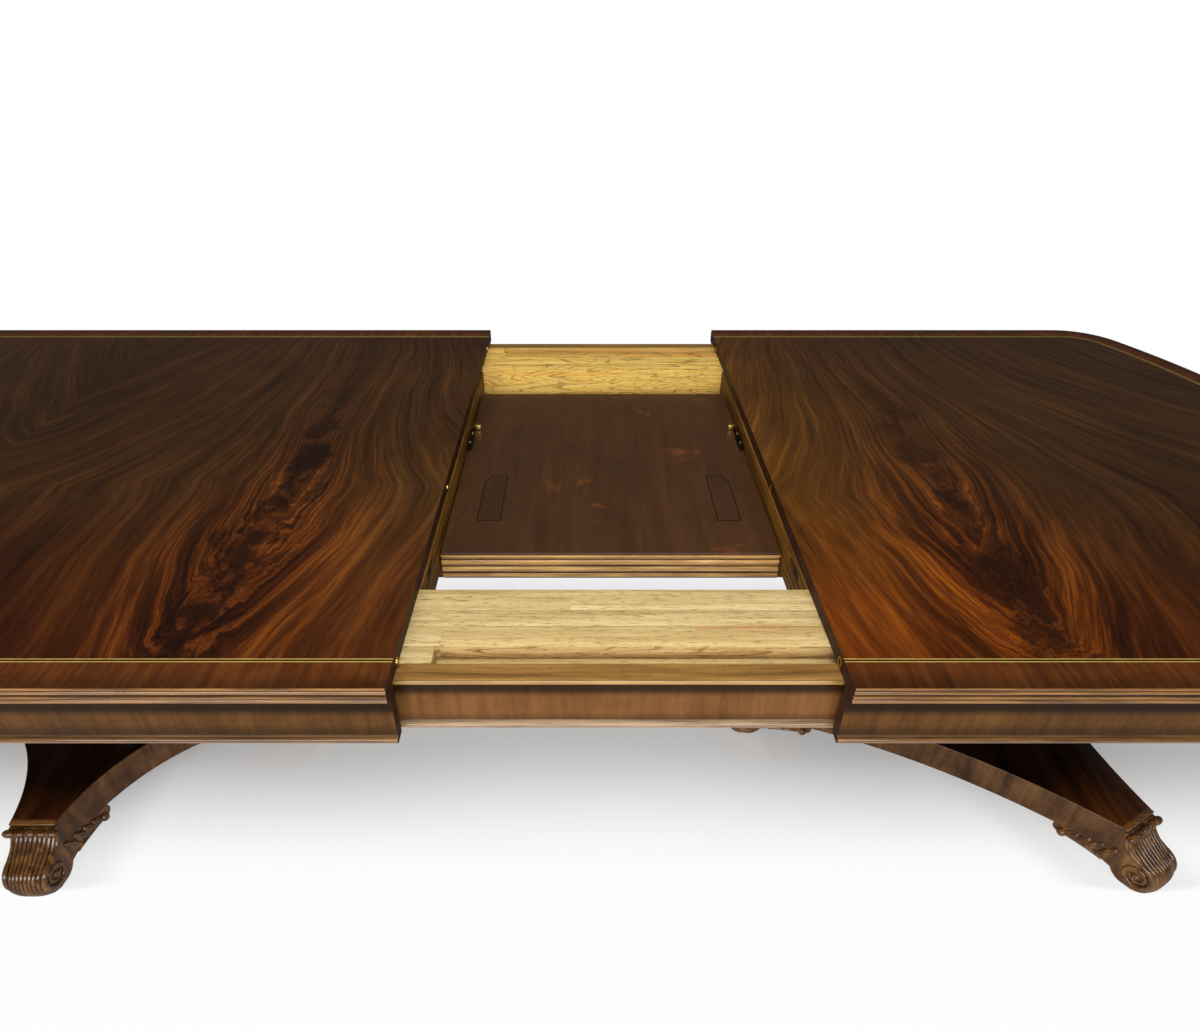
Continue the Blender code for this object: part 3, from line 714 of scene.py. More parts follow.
apron_section = [(apron_back, hang_level), (apron_face, hang_level)]
apron_section += beaded_face(apron_face, apron_bottom) + [(apron_back, apron_bottom)]
plain, upright, beaded = range(3)
apron_slots = [plain, upright] + [beaded] * (bead_turns + 2) + [plain, plain]
# The apron is darker in a band under the top's overhang, as painted shadow, and darker towards the bead.
apron_veneer = cross_veneer("apron_veneer", shade(72, 45, 19), shade(102, 66, 29), shade(127, 85, 41),
                            [(0.650, 0.665, 0.0, 0.86), (0.624, 0.641, 0.5, 0.0)])
# The bead's lighter colour is partly painted highlight.
bead_lit = polished_moulding("apron_bead", shade(98, 66, 32), shade(162, 116, 64))
apron_looks = [plain_under, apron_veneer, bead_lit]


def lengthwise(name, section, slots, stations, way, looks, body, slot, *nodes):
    """A straight moulded rail along the table, at the front (way -1) or at the back (way 1)."""
    shape = bmesh.new()
    lines = [[(x, way * (half_width - inset), height) for inset, height in section] for x in stations]
    rows = swept(shape, lines, True, slots)
    for row in rows:
        capped(shape, row)
    map_run(shape, rows, stations, [height for inset, height in section])
    piece(name, shape, looks, body, slot, *nodes)


faces = {"front": -1, "back": 1}
owners = {"centre": "centre", "right": "right_end", "left": "left_end"}
for owner, body in owners.items():
    for face, way in faces.items():
        cad_node = f"{owner}_apron_{face}"
        low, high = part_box(cad_node)
        lengthwise(f"{cad_node}_rail", apron_section, apron_slots, (low.x, high.x), way, apron_looks, body,
                   "apron_mahogany", cad_node)

for side, sign in sides.items():
    shape = bmesh.new()
    paths = [[(sign * x, y, height) for x, y in end_path(inset)] for inset, height in apron_section]
    lines = list(zip(*paths))
    rows = swept(shape, lines, True, apron_slots)
    for row in (rows[0], rows[-1]):
        capped(shape, row)
    heights = [height for inset, height in apron_section]
    map_run(shape, rows, run_lengths([line[1] for line in lines]), heights)
    piece(f"{side}_apron_end_bent", shape, apron_looks, f"{side}_end", "apron_mahogany", f"{side}_apron_end")


# Runners and cleats: plain oak lengths screwed under the tops. The runners guide the sliding banks, and the
# cleats take the columns. They are sawn square and only oiled, with the grain along their length.
long_grain, given, out = new_group("long_grain", {"Vector": "Vector"}, ("Streaks", "Pores", "Rings"))
tree = long_grain
tree.links.new(streaky(tree, given["Vector"], (5.0, 120.0, 120.0), 5.0, 0.62, 0.4), out["Streaks"])
tree.links.new(streaky(tree, given["Vector"], (55.0, 1100.0, 1100.0), 2.0), out["Pores"])
slow = streaky(tree, given["Vector"], (5.5, 24.0, 24.0), 3.0, 0.5, 0.3)
tree.links.new(sums(tree, "FRACT", sums(tree, "MULTIPLY", slow, 13.0)), out["Rings"])


def turned_place(tree, turn):
    """Coordinates turned by some degrees about the upright axis."""
    turning = (0.0, 0.0, math.radians(turn))
    return node(tree, "Mapping", {"Vector": object_place(tree), "Rotation": turning}).outputs[0]


def oiled_wood(name, deep, middle, light, turn=0.0, roughness=0.52, coat=0.0, ringed=0.25, pore=0.6):
    """Open-pored wood with its grain along X, or turned about the upright axis."""
    mat, tree, surface = finish(name, roughness, coat, specular=0.16)
    grain = placed(tree, long_grain, Vector=turned_place(tree, turn))
    colour = ramp(tree, grain["Streaks"], (0.32, deep), (0.50, middle), (0.68, light))
    line = eased(tree, grain["Rings"], 0.78, 0.97, 0.0, ringed)
    colour = mixed(tree, line, colour, deep)
    colour = mixed(tree, eased(tree, grain["Pores"], 0.58, 0.72, 0.0, pore), colour, deep)
    sheen = eased(tree, grain["Streaks"], 0.3, 0.7, roughness + 0.08, roughness - 0.06)
    dressed(tree, surface, colour, sheen, grain["Pores"], -0.0001)
    return mat


runner_oak = oiled_wood("runner_oak", shade(150, 112, 62), shade(192, 152, 92), shade(214, 178, 118))
cleat_oak = oiled_wood("cleat_oak", shade(92, 60, 28), shade(130, 92, 46), shade(156, 114, 62), turn=90.0)
for owner in owners:
    for part, wood in (("runner_front", runner_oak), ("runner_back", runner_oak), ("cleat", cleat_oak)):
        for material_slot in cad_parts[f"{owner}_{part}"].material_slots:
            material_slot.material = wood


# Columns: turned mahogany balusters, tenoned into the cleat above and the platform below. A moulded cap sits
# on a slim neck with a ring, and below it a full vase stands on a torus and a drum.
column_steps = 72
curve_steps = 6


def curve_through(points, steps):
    """A smooth curve through the given points."""
    line = []
    ends = [points[0]] + points + [points[-1]]
    for before, start, stop, after in zip(ends, ends[1:], ends[2:], ends[3:]):
        for step in range(steps):
            t = step / steps
            pair = []
            for a, b, c, d in zip(before, start, stop, after):
                pair.append(0.5 * (2 * b + (c - a) * t + (2 * a - 5 * b + 4 * c - d) * t ** 2
                                   + (3 * b - a - 3 * c + d) * t ** 3))
            line.append(tuple(pair))
    return line + [points[-1]]


def column_profile(low, high):
    """From the middle of the top down to the middle of the foot, as (radius, height)."""
    tall = high - low

    def at(radius, share):
        return (radius, low + share * tall)

    cap = arc(at(0.0811, 0.9785), 0.0109, 90.0, -90.0, 8)
    hollow = curve_through([at(0.0770, 0.950), at(0.0600, 0.925), at(0.0520, 0.880), at(0.0480, 0.780)],
                           curve_steps)
    ring = arc(at(0.0530, 0.725), 0.0160, 105.0, -105.0, 10)
    vase = curve_through([at(0.0465, 0.685), at(0.0530, 0.620), at(0.0690, 0.500), at(0.0835, 0.385),
                          at(0.0800, 0.300), at(0.0610, 0.218), at(0.0556, 0.188)], curve_steps)
    torus = arc(at(0.0826, 0.136), 0.0139, 90.0, -90.0, 10)
    fillets = [at(0.0640, 0.188), at(0.0640, 0.170), at(0.0780, 0.163)]
    drum = [at(0.0900, 0.109), at(0.0900, 0.101)] + arc(at(0.0990, 0.0890), 0.0060, 90.0, 0.0, 4)
    foot = [at(0.105, 0.0), at(0.0, 0.0)]
    return [at(0.0, 1.0)] + cap + hollow + ring + vase + fillets + torus + drum + foot


turned_mahogany, tree, surface = finish("turned_mahogany", 0.34, 0.3, 0.12, 0.25)
place = object_place(tree)
streaks = streaky(tree, place, (60.0, 60.0, 5.0), 4.0, 0.6, 0.4)
colour = ramp(tree, streaks, (0.32, shade(40, 20, 11)), (0.50, shade(78, 42, 21)), (0.68, shade(112, 64, 30)))
# The turning's hollows are darkened: glaze and painted shade.
darkened_hollows = placed(tree, hollow_glaze_and_shade, Reach=0.015, Strength=0.8)
sheen = eased(tree, darkened_hollows["Hollow"], 0.0, 1.0, 0.30, 0.55)
dressed(tree, surface, mixed(tree, darkened_hollows["Hollow"], colour, shade(20, 10, 6)), sheen, streaks, 0.00006)
for owner, body in owners.items():
    low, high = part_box(f"{owner}_column")
    shape = bmesh.new()
    home = Matrix.Translation(((low.x + high.x) / 2, 0.0, 0.0))
    lathe(shape, column_profile(low.z, high.z), column_steps, home)
    piece(f"{owner}_column_turned", shape, [turned_mahogany], body, "turned_mahogany", f"{owner}_column",
          angle=40.0)


# Platforms: thick concave-sided bases, veneered on the top and with upright grain round the sides.
# The column is tenoned into the middle, and a carved foot is screwed under the square end of each lobe.
lobe_half = 0.0425
centre_reach = 0.364
centre_waist = 0.211
end_reach = 0.412
end_waist = 0.203
platform_round = 0.0026
platform_ease = 0.0010
hollow_turns = 40
low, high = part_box("centre_platform")
platform_bottom = low.z
platform_top = high.z


def platform_outline(axis, headings, reach, waist):
    """Square-ended lobes joined by hollow sides, whose nearest point is waist from the axis."""
    outline = []
    for heading, following in zip(headings, headings[1:] + headings[:1]):
        spread = (following - heading) % 360.0
        middle = math.radians(heading + spread / 2)
        out = Vector((math.cos(math.radians(heading)), math.sin(math.radians(heading))))
        left = Vector((-out.y, out.x))
        corner = reach * out + lobe_half * left
        bisector = Vector((math.cos(middle), math.sin(middle)))
        along = corner.dot(bisector)
        aside = abs(corner.dot(Vector((-bisector.y, bisector.x))))
        radius = ((along - waist) ** 2 + aside ** 2) / (2.0 * (along - waist))
        hollow = (waist + radius) * bisector
        swing = math.degrees(math.asin(aside / radius))
        back = math.degrees(middle) + 180.0
        outline.append(tuple(reach * out - lobe_half * left))
        outline += arc(hollow, radius, back + swing, back - swing, hollow_turns)
    return [(axis + x, y) for x, y in outline]


platform_face, tree, surface = finish("platform_face", 0.34, 0.25, 0.10, 0.15)
place = object_place(tree)
middle = node(tree, "SeparateXYZ", {0: place}).outputs
along_table = sums(tree, "ABSOLUTE", middle["X"])
by_end = sums(tree, "ABSOLUTE", sums(tree, "SUBTRACT", along_table, end_axis))
off_axis = sums(tree, "MINIMUM", along_table, by_end)
from_axis = sums(tree, "SQRT", sums(tree, "ADD", sums(tree, "MULTIPLY", off_axis, off_axis),
                                    sums(tree, "MULTIPLY", middle["Y"], middle["Y"])))
streaks = streaky(tree, place, (46.0, 5.0, 20.0), 5.0, 0.6, 0.5)
# Round the column the top is painted near black, as painted shade under the table top; towards the feet it is
# warm brown, as painted light.
dark = ramp(tree, streaks, (0.35, shade(12, 5, 3)), (0.65, shade(34, 15, 8)))
lit_near_feet = ramp(tree, streaks, (0.35, shade(64, 30, 11)), (0.65, shade(116, 62, 24)))
sheen = eased(tree, streaks, 0.3, 0.7, 0.30, 0.42)
dressed(tree, surface, mixed(tree, eased(tree, from_axis, 0.26, 0.42), dark, lit_near_feet), sheen, streaks, 0.00005)
platform_side, tree, surface = finish("platform_side", 0.36, 0.3, 0.12, 0.25)
place = object_place(tree)
upright_streaks = streaky(tree, place, (70.0, 70.0, 7.0), 4.0, 0.6, 0.3)
mottle = noise(tree, place, 16.0, 3.0, 0.6, 0.5).outputs["Fac"]
figure = weighed(tree, upright_streaks, mottle, 0.5)
colour = ramp(tree, figure, (0.34, shade(58, 36, 19)), (0.50, shade(102, 68, 39)), (0.66, shade(138, 97, 58)))
sheen = eased(tree, mottle, 0.3, 0.7, 0.32, 0.44)
dressed(tree, surface, colour, sheen, upright_streaks, 0.00005)

pedestals = {
    "centre": ("centre", 0.0, {"right": 0.0, "back": 90.0, "left": 180.0, "front": 270.0},
               centre_reach, centre_waist),
    "right": ("right_end", end_axis, {"back": 60.0, "inner": 180.0, "front": 300.0}, end_reach, end_waist),
    "left": ("left_end", -end_axis, {"inner": 0.0, "back": 120.0, "front": 240.0}, end_reach, end_waist),
}


def rim(shape, row):
    """The edges round a closed row of points."""
    return [shape.edges.get(pair) for pair in zip(row, row[1:] + row[:1])]


def rounded(shape, edges, offset, segments):
    """Round or ease the given edges."""
    bmesh.ops.bevel(shape, geom=edges, offset=offset, segments=segments, profile=0.5, affect="EDGES",
                    material=-1)


for owner, (body, axis, lobes, reach, waist) in pedestals.items():
    shape = bmesh.new()
    outline = platform_outline(axis, list(lobes.values()), reach, waist)
    rows = swept(shape, [[(x, y, z) for x, y in outline] for z in (platform_bottom, platform_top)], True,
                 [1] * len(outline))
    capped(shape, rows[0], 1)
    capped(shape, rows[1], 0)
    bmesh.ops.recalc_face_normals(shape, faces=shape.faces)
    upper, lower = rim(shape, rows[1]), rim(shape, rows[0])
    rounded(shape, upper, platform_round, 3)
    rounded(shape, [edge for edge in lower if edge.is_valid], platform_ease, 1)
    piece(f"{owner}_platform_veneered", shape, [platform_face, platform_side], body, "pedestal_mahogany",
          f"{owner}_platform")


# Feet: carved scroll feet of solid mahogany. Reeds run from a row of beads down the hollow neck and over the
# toe, a volute is cut in each cheek, and an acanthus leaf spreads back under the platform to a small knob.
toe_radius = 0.0410
toe_reach = 0.0420
curl_radius = 0.0132
curl_reach = 0.086
cheek_half = 0.0425
cheek_flare = 0.22
toe_taper = 0.10
crown = 0.0065
crown_low = 0.0090
reed_count = 8
reed_band = 0.84
reed_cut = 0.0030
bead_place = (0.0135, 0.1158)
bead_size = 0.0080
bead_long = 0.0122
bead_step = 0.0194
fillet_back = -0.0092
fillet_proud = 0.0030
fillet_high = 0.0046
fillet_short = 0.0008
fillet_over = 0.0007
fillet_ease = 0.0016
volute_eye = (0.0476, 0.0442)
volute_start = 0.0285
volute_stop = 0.0088
volute_turns = 1.75
rib_radius = 0.0050
rib_sunk = 0.0004
eye_size = (0.0070, 0.0062, 0.0070)
stem_radius = 0.0036
stem_sunk = 0.0006
frond_curl = 0.0058
knob_place = (-0.0805, 0.0385)
knob_radius = 0.0090
knob_proud = 0.0005
seat_gap = 0.0003
toe_share = 0.97
foot_under = platform_bottom - seat_gap
toe = (toe_reach, toe_share * toe_radius)
toe_flat = math.degrees(math.acos(toe_share))


def bowed(start, pull, stop, steps):
    """Points along a curve from one end to the other, drawn towards a third point, without the first end."""
    points = []
    for step in range(1, steps + 1):
        t = step / steps
        place = []
        for a, b, c in zip(start, pull, stop):
            place.append((1 - t) ** 2 * a + 2 * t * (1 - t) * b + t ** 2 * c)
        points.append(tuple(place))
    return points


def foot_side():
    """The foot's side view from the back under the platform, round the toe, up to the collar.

    Each point is (out, up, cut, crown), where cut is how deep the reeds are there and crown how far the
    cheeks are rounded back.
    """
    back = arc((-curl_reach, foot_under - curl_radius), curl_radius, 90.0, 285.0, 12)
    heel = arc(toe, toe_radius, 205.0, 270.0 - toe_flat, 6)
    below = bowed(back[-1], (-0.040, 0.0375), heel[0], 8)[:-1]
    front = arc(toe, toe_radius, 270.0 + toe_flat, 410.0, 26)
    neck = bowed(front[-1], (0.030, 0.088), (0.0125, 0.1090), 12)
    seat = [(0.0100, 0.1140), (0.0098, 0.1195), (seat_gap, 0.1205), (seat_gap, foot_under)]
    points = [(x, z, 0.0, 0.0) for x, z in back]
    lower = below + heel
    for step, (x, z) in enumerate(lower):
        points.append((x, z, 0.0, crown_low * (step + 1) / len(lower)))
    for step, (x, z) in enumerate(front):
        share = min(1.0, (step + 2) / 8)
        points.append((x, z, reed_cut * share, crown_low + (crown - crown_low) * share))
    for step, (x, z) in enumerate(neck):
        points.append((x, z, reed_cut, crown * (1.0 - 0.8 * (step + 1) / len(neck))))
    return points + [(x, z, 0.0, 0.0) for x, z in seat]


def reed_stations():
    """Places across the foot from cheek to cheek, as (place from -1 to 1, height of the reed there)."""
    stations = [(-1.0, 0.6), (-0.975, 0.9), (-0.93, 1.0), (-0.88, 0.85)]
    width = 2.0 * reed_band / reed_count
    for reed in range(reed_count):
        middle = -reed_band + (reed + 0.5) * width
        for across in (-1.0, -0.88, -0.62, -0.25, 0.25, 0.62, 0.88):
            stations.append((middle + across * width / 2, math.sqrt(1.0 - across ** 2)))
    stations.append((reed_band, 0.0))
    return stations + [(-place, height) for place, height in reversed(stations[:4])]


def cheek(out):
    """Half the foot's width at a place along it: it narrows to the toe and widens to the back."""
    forward = out - seat_gap
    return cheek_half - (toe_taper if forward > 0.0 else cheek_flare) * forward


def rib(shape, path, radii, turns=8):
    """A round rib that follows a path of (out, across, up) points."""
    lines = []
    for step, point in enumerate(path):
        here = Vector(point)
        heading = Vector(path[min(step + 1, len(path) - 1)]) - Vector(path[max(step - 1, 0)])
        first = heading.cross((0.0, 1.0, 0.0)).normalized()
        second = heading.cross(first).normalized()
        ring = []
        for turn in range(turns):
            angle = 2.0 * math.pi * turn / turns
            ring.append(here + radii[step] * (math.cos(angle) * first + math.sin(angle) * second))
        lines.append(ring)
    rows = swept(shape, lines, True)
    capped(shape, rows[0])
    capped(shape, rows[-1])


def lobe(shape, centre, sizes, turns):
    """A rounded lobe, with its half sizes along the foot, across it and up."""
    bmesh.ops.create_uvsphere(shape, u_segments=turns, v_segments=8, radius=1.0,
                              matrix=Matrix.Translation(centre) @ Matrix.Diagonal((*sizes, 1.0)))


def block(shape, low, high, ease, slot=0):
    """A square block with its edges eased. Returns its points."""
    before = set(shape.verts)
    middle = (Vector(low) + Vector(high)) / 2
    size = Vector(high) - Vector(low)
    home = Matrix.Translation(middle) @ Matrix.Diagonal((*size, 1.0))
    made = bmesh.ops.create_cube(shape, size=1.0, matrix=home)
    rounded(shape, list({edge for vert in made["verts"] for edge in vert.link_edges}), ease, 2)
    verts = [vert for vert in shape.verts if vert not in before]
    for face in {face for vert in verts for face in vert.link_faces}:
        face.material_index = slot
    return verts


foot_section = foot_side()
foot_stations = reed_stations()


def foot_body(shape):
    """The solid foot with its reeded front, one row of points for each place across."""
    count = len(foot_section)
    lines = []
    for across, height in foot_stations:
        line = []
        for step, (x, z, cut, rounding) in enumerate(foot_section):
            before, after = foot_section[step - 1], foot_section[(step + 1) % count]
            slope = Vector((after[0] - before[0], after[1] - before[1])).normalized()
            sink = cut * (1.0 - height) + rounding * abs(across) ** 3
            line.append((x - slope.y * sink, across * cheek(x), z + slope.x * sink))
        lines.append(line)
    rows = swept(shape, lines, True)
    fold = next(step for step, point in enumerate(foot_section) if point[0] >= seat_gap - 1e-6)
    for row in (rows[0], rows[-1]):
        capped(shape, row[fold:])
        capped(shape, row[-1:] + row[:fold + 1])


def foot_collar(shape):
    """The row of beads under the platform's end and the fillet above it, whose light colour is partly painted
    highlight.
    """
    for step in range(-2, 3):
        lobe(shape, (bead_place[0], step * bead_step, bead_place[1]), (bead_size, bead_long, bead_size), 18)
    half = lobe_half - fillet_short
    top = platform_top - seat_gap
    block(shape, (fillet_back, -half, top - fillet_high), (fillet_proud, half, top + fillet_over),
          fillet_ease, 1)


def foot_carving(shape, way):
    """The volute, the leaf and the knob on one cheek."""
    def on_cheek(x, z, sunk=rib_sunk):
        return (x, way * (cheek(x) - sunk), z)

    path = []
    radii = []
    neck_line = [(0.0080, 0.1120), (0.0085, 0.1030), (0.0115, 0.0955), (0.0180, 0.0880), (0.0270, 0.0820),
                 (0.0370, 0.0780), (0.0440, 0.0755)]
    for x, z in curve_through(neck_line, 4)[:-1]:
        path.append(on_cheek(x, z))
        radii.append(0.8 * rib_radius)
    steps = 64
    for step in range(steps + 1):
        share = step / steps
        angle = math.radians(82.0 - 360.0 * volute_turns * share)
        radius = volute_start + (volute_stop - volute_start) * share ** 0.9
        path.append(on_cheek(volute_eye[0] + radius * math.cos(angle),
                             volute_eye[1] + radius * math.sin(angle)))
        radii.append(rib_radius * (1.0 - 0.35 * share))
    rib(shape, path, radii)
    lobe(shape, on_cheek(*volute_eye, 0.0), eye_size, 16)
    stem = curve_through([(-0.080, 0.0385), (-0.050, 0.0372), (-0.022, 0.0345), (-0.009, 0.0322)], 5)
    rib(shape, [on_cheek(x, z, stem_sunk) for x, z in stem], [stem_radius] * len(stem))
    fronds = [((-0.077, 0.0420), (-0.057, 0.0548)), ((-0.060, 0.0400), (-0.038, 0.0610)),
              ((-0.042, 0.0380), (-0.018, 0.0672)), ((-0.022, 0.0350), (0.004, 0.0710))]
    for root, tip in fronds:
        lean = Vector(tip) - Vector(root)
        aside = Vector((-lean.y, lean.x)).normalized()
        for offset, reach, thick in ((-0.0052, 0.94, 0.0042), (0.0, 1.0, 0.0048), (0.0052, 0.86, 0.0038)):
            belly = Vector(root) + 0.55 * lean + (offset - 0.0030) * aside
            end = Vector(root) + reach * lean + 0.4 * offset * aside
            vein = curve_through([root, tuple(belly), tuple(end)], 5)
            last = len(vein) - 1
            swell = [thick * (0.55 + 0.45 * math.sin(math.pi * step / last)) for step in range(last + 1)]
            rib(shape, [on_cheek(x, z) for x, z in vein], swell)
        curl = (tip[0] - 0.0012, way * (cheek(tip[0]) + 0.0004), tip[1] - 0.0010)
        lobe(shape, curl, [frond_curl] * 3, 14)
    lobe(shape, on_cheek(*knob_place, -knob_proud), [knob_radius] * 3, 18)


carved_mahogany, tree, surface = finish("carved_mahogany", 0.24, 0.7, 0.08, 0.4)
place = object_place(tree)
streaks = streaky(tree, place, (60.0, 60.0, 14.0), 4.0, 0.6, 0.5)
colour = ramp(tree, streaks, (0.34, shade(76, 46, 19)), (0.50, shade(118, 77, 36)),
              (0.66, shade(160, 110, 56)))
# The carving's hollows are darkened: glaze and painted shade.
darkened_hollows = placed(tree, hollow_glaze_and_shade, Reach=0.0045, Strength=0.95)
sheen = eased(tree, darkened_hollows["Hollow"], 0.0, 1.0, 0.20, 0.55)
dressed(tree, surface, mixed(tree, darkened_hollows["Hollow"], colour, shade(22, 12, 6)), sheen, streaks, 0.00008)
# The fillet's light colour is partly painted highlight along the platform's end.
foot_fillet = polished_moulding("foot_fillet", shade(112, 70, 32), shade(170, 116, 60), strength=0.5)

for owner, (body, axis, lobes, reach, waist) in pedestals.items():
    for place, heading in lobes.items():
        shape = bmesh.new()
        foot_body(shape)
        foot_collar(shape)
        for way in (-1, 1):
            foot_carving(shape, way)
        turn = Matrix.Rotation(math.radians(heading), 4, "Z")
        home = Matrix.Translation((axis, 0.0, 0.0)) @ turn @ Matrix.Translation((reach, 0.0, 0.0))
        bmesh.ops.transform(shape, matrix=home, verts=shape.verts)
        piece(f"{owner}_foot_{place}_carved", shape, [carved_mahogany, foot_fillet], body, "carved_mahogany",
              f"{owner}_foot_{place}", angle=48.0)


# Well rails: the front and back rails of each sliding well. A mahogany cap with a rounded nose lies on a
# set-back face of upright grain, with a bead below like the aprons', so that the well runs on as part of the
# table's side.
rail_front = 0.0372
rail_back = 0.0648
nose_radius = 0.0045
nose_drop = 0.0067
nose_turns = 8
cap_ease = (0.0010, 0.0008)
cap_edge = 0.0014
face_back = 0.005
shadow_deep = 0.0012
shadow_drops = (0.0004, 0.0022, 0.0028)
low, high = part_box("right_well_rail_front")
well_top = high.z
rail_bead_level = low.z
rail_face = rail_front + face_back
rail_section = [(rail_back, well_top), (rail_front + cap_ease[0], well_top),
                (rail_front, well_top - cap_ease[1]), (rail_front, well_top - cap_edge)]
rail_section += arc((rail_front + nose_radius, well_top - nose_drop), nose_radius, 115.0, 270.0, nose_turns)
lip = well_top - nose_drop - nose_radius
for deep, drop in zip((shadow_deep, shadow_deep, 0.0), shadow_drops):
    rail_section.append((rail_face + deep, lip - drop))
rail_section += beaded_face(rail_face, rail_bead_level) + [(rail_back, rail_bead_level)]
capping, nosing, facing, under_bead, backing = range(5)
rail_slots = [capping] * 4 + [nosing] * nose_turns + [facing] * 4
rail_slots += [under_bead] * (bead_turns + 2) + [backing] * 2
cap_wood = oiled_wood("well_cap", shade(104, 73, 33), shade(142, 103, 50), shade(168, 127, 68),
                      roughness=0.40, coat=0.1, ringed=0.3)
# The nose is painted lighter than the cap: painted highlight.
nose_lit = polished_moulding("well_nose", shade(176, 132, 64), shade(224, 178, 100), strength=0.5)
# The rail face is darker in a band under the nose, as painted shadow, and darker towards the bead.
rail_veneer = cross_veneer("well_rail_veneer", shade(100, 63, 31), shade(132, 87, 47), shade(154, 107, 63),
                           [(0.655, 0.6705, 0.0, 0.85), (0.617, 0.633, 0.42, 0.0)])
# The bead's light colour is partly painted highlight.
rail_bead = polished_moulding("well_bead", shade(146, 112, 76), shade(206, 172, 132), strength=0.6)
rail_inside = oiled_wood("well_inside", shade(160, 122, 60), shade(206, 168, 92), shade(226, 190, 112))
rail_looks = [cap_wood, nose_lit, rail_veneer, rail_bead, rail_inside]
for side in sides:
    for face, way in faces.items():
        cad_node = f"{side}_well_rail_{face}"
        low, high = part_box(cad_node)
        lengthwise(f"{cad_node}_capped", rail_section, rail_slots, (low.x, high.x), way, rail_looks,
                   f"{side}_well", "apron_mahogany", cad_node)


# Banks: the two long bearers of each well, glued up from oak staves of different widths with butt joints.
# A stopped groove along the rail is ploughed in them for the slide. They are sanded, oiled and left pale.
stave_edges = (0.0651, 0.0956, 0.1265, 0.1356, 0.1687, 0.1967, 0.2128)
stave_long = 0.90
first_joint = 0.22
joint_shift = 0.18
shortest_stave = 0.08
stave_ease = 0.0005
first_numbers = {"front": 3, "back": 40}
number_step = 0.37
groove_deep = 0.020
groove_stop = 0.040
back_deeper = 0.004
bank_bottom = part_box("right_bank_front")[0].z


def bank(side, sign, face, way):
    """One bank, stave by stave, each with its own number for its colour and grain."""
    shape = bmesh.new()
    layer = shape.verts.layers.float.new("stave")
    low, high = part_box(f"{side}_bank_{face}")
    stop = sign * (centre_half + groove_stop)
    base_level = bank_bottom - (back_deeper if face == "back" else 0.0)
    number = first_numbers[face]
    for strip, (outer, inner) in enumerate(zip(stave_edges, stave_edges[1:])):
        cuts = [low.x]
        joint = low.x + stave_long * (first_joint + joint_shift * (strip * 2 % 5))
        while joint < high.x - shortest_stave:
            cuts.append(joint)
            joint += stave_long
        cuts.append(high.x)
        ys = sorted((way * (half_width - outer), way * (half_width - inner)))
        if strip:
            runs = [(start, end, base_level, well_top) for start, end in zip(cuts, cuts[1:])]
        else:
            floor_level = well_top - groove_deep
            runs = [(start, end, base_level, floor_level) for start, end in zip(cuts, cuts[1:])]
            ends = (low.x, stop) if sign > 0 else (stop, high.x)
            runs.append((*ends, floor_level, well_top))
        for start, end, base, top in runs:
            number += 1
            for vert in block(shape, (start, ys[0], base), (end, ys[1], top), stave_ease):
                vert[layer] = (number * number_step) % 1.0
    piece(f"{side}_bank_{face}_staves", shape, [bank_oak], f"{side}_well", "oak", f"{side}_bank_{face}")


bank_oak, tree, surface = finish("bank_oak", 0.50, 0.05, 0.2, 0.14)
place = object_place(tree)
stave = node(tree, "Attribute", attribute_name="stave").outputs["Fac"]
apart = node(tree, "CombineXYZ", {0: sums(tree, "MULTIPLY", stave, 31.0), 1: stave, 2: stave}).outputs[0]
shifted = node(tree, "VectorMath", {0: place, 1: apart}, operation="ADD").outputs[0]
grain = placed(tree, long_grain, Vector=shifted)
pale = ramp(tree, grain["Streaks"], (0.32, shade(190, 161, 108)), (0.50, shade(212, 188, 136)),
            (0.68, shade(229, 209, 162)))
gold = ramp(tree, grain["Streaks"], (0.32, shade(234, 188, 96)), (0.50, shade(252, 214, 118)),
            (0.68, shade(255, 232, 150)))
across = node(tree, "SeparateXYZ", {0: place}).outputs["Y"]
behind = eased(tree, across, -0.30, 0.30)
colour = mixed(tree, behind, pale, gold)
tone = ramp(tree, stave, (0.0, shade(228, 204, 182)), (0.35, shade(255, 246, 230)),
            (0.65, shade(240, 236, 218)), (1.0, shade(255, 252, 243)))
colour = mixed(tree, 1.0, colour, tone, "MULTIPLY")
growth = streaky(tree, shifted, (4.5, 12.0, 42.0), 1.0, 0.5, 0.4)
rings = sums(tree, "FRACT", sums(tree, "MULTIPLY", growth, 11.0))
off_wall = sums(tree, "ABSOLUTE", sums(tree, "ADD", across, half_width - stave_edges[1]))
ringed = sums(tree, "MAXIMUM", behind, eased(tree, off_wall, 0.0004, 0.0014, 1.0, 0.0))
ringed = sums(tree, "MULTIPLY", ringed, eased(tree, rings, 0.70, 0.97, 0.0, 0.62))
colour = mixed(tree, ringed, colour, shade(134, 88, 38))
dashes = streaky(tree, shifted, (60.0, 620.0, 620.0), 2.0)
colour = mixed(tree, eased(tree, dashes, 0.58, 0.66, 0.0, 0.62), colour, shade(116, 82, 38))
# The groove's corners are darkened: painted shade.
darkened_hollows = placed(tree, hollow_glaze_and_shade, Reach=0.02, Strength=0.08)
colour = mixed(tree, darkened_hollows["Hollow"], colour, shade(118, 80, 36))
sheen = eased(tree, grain["Streaks"], 0.3, 0.7, 0.56, 0.44)
dressed(tree, surface, colour, sheen, grain["Pores"], -0.0001)
for side, sign in sides.items():
    for face, way in faces.items():
        bank(side, sign, face, way)


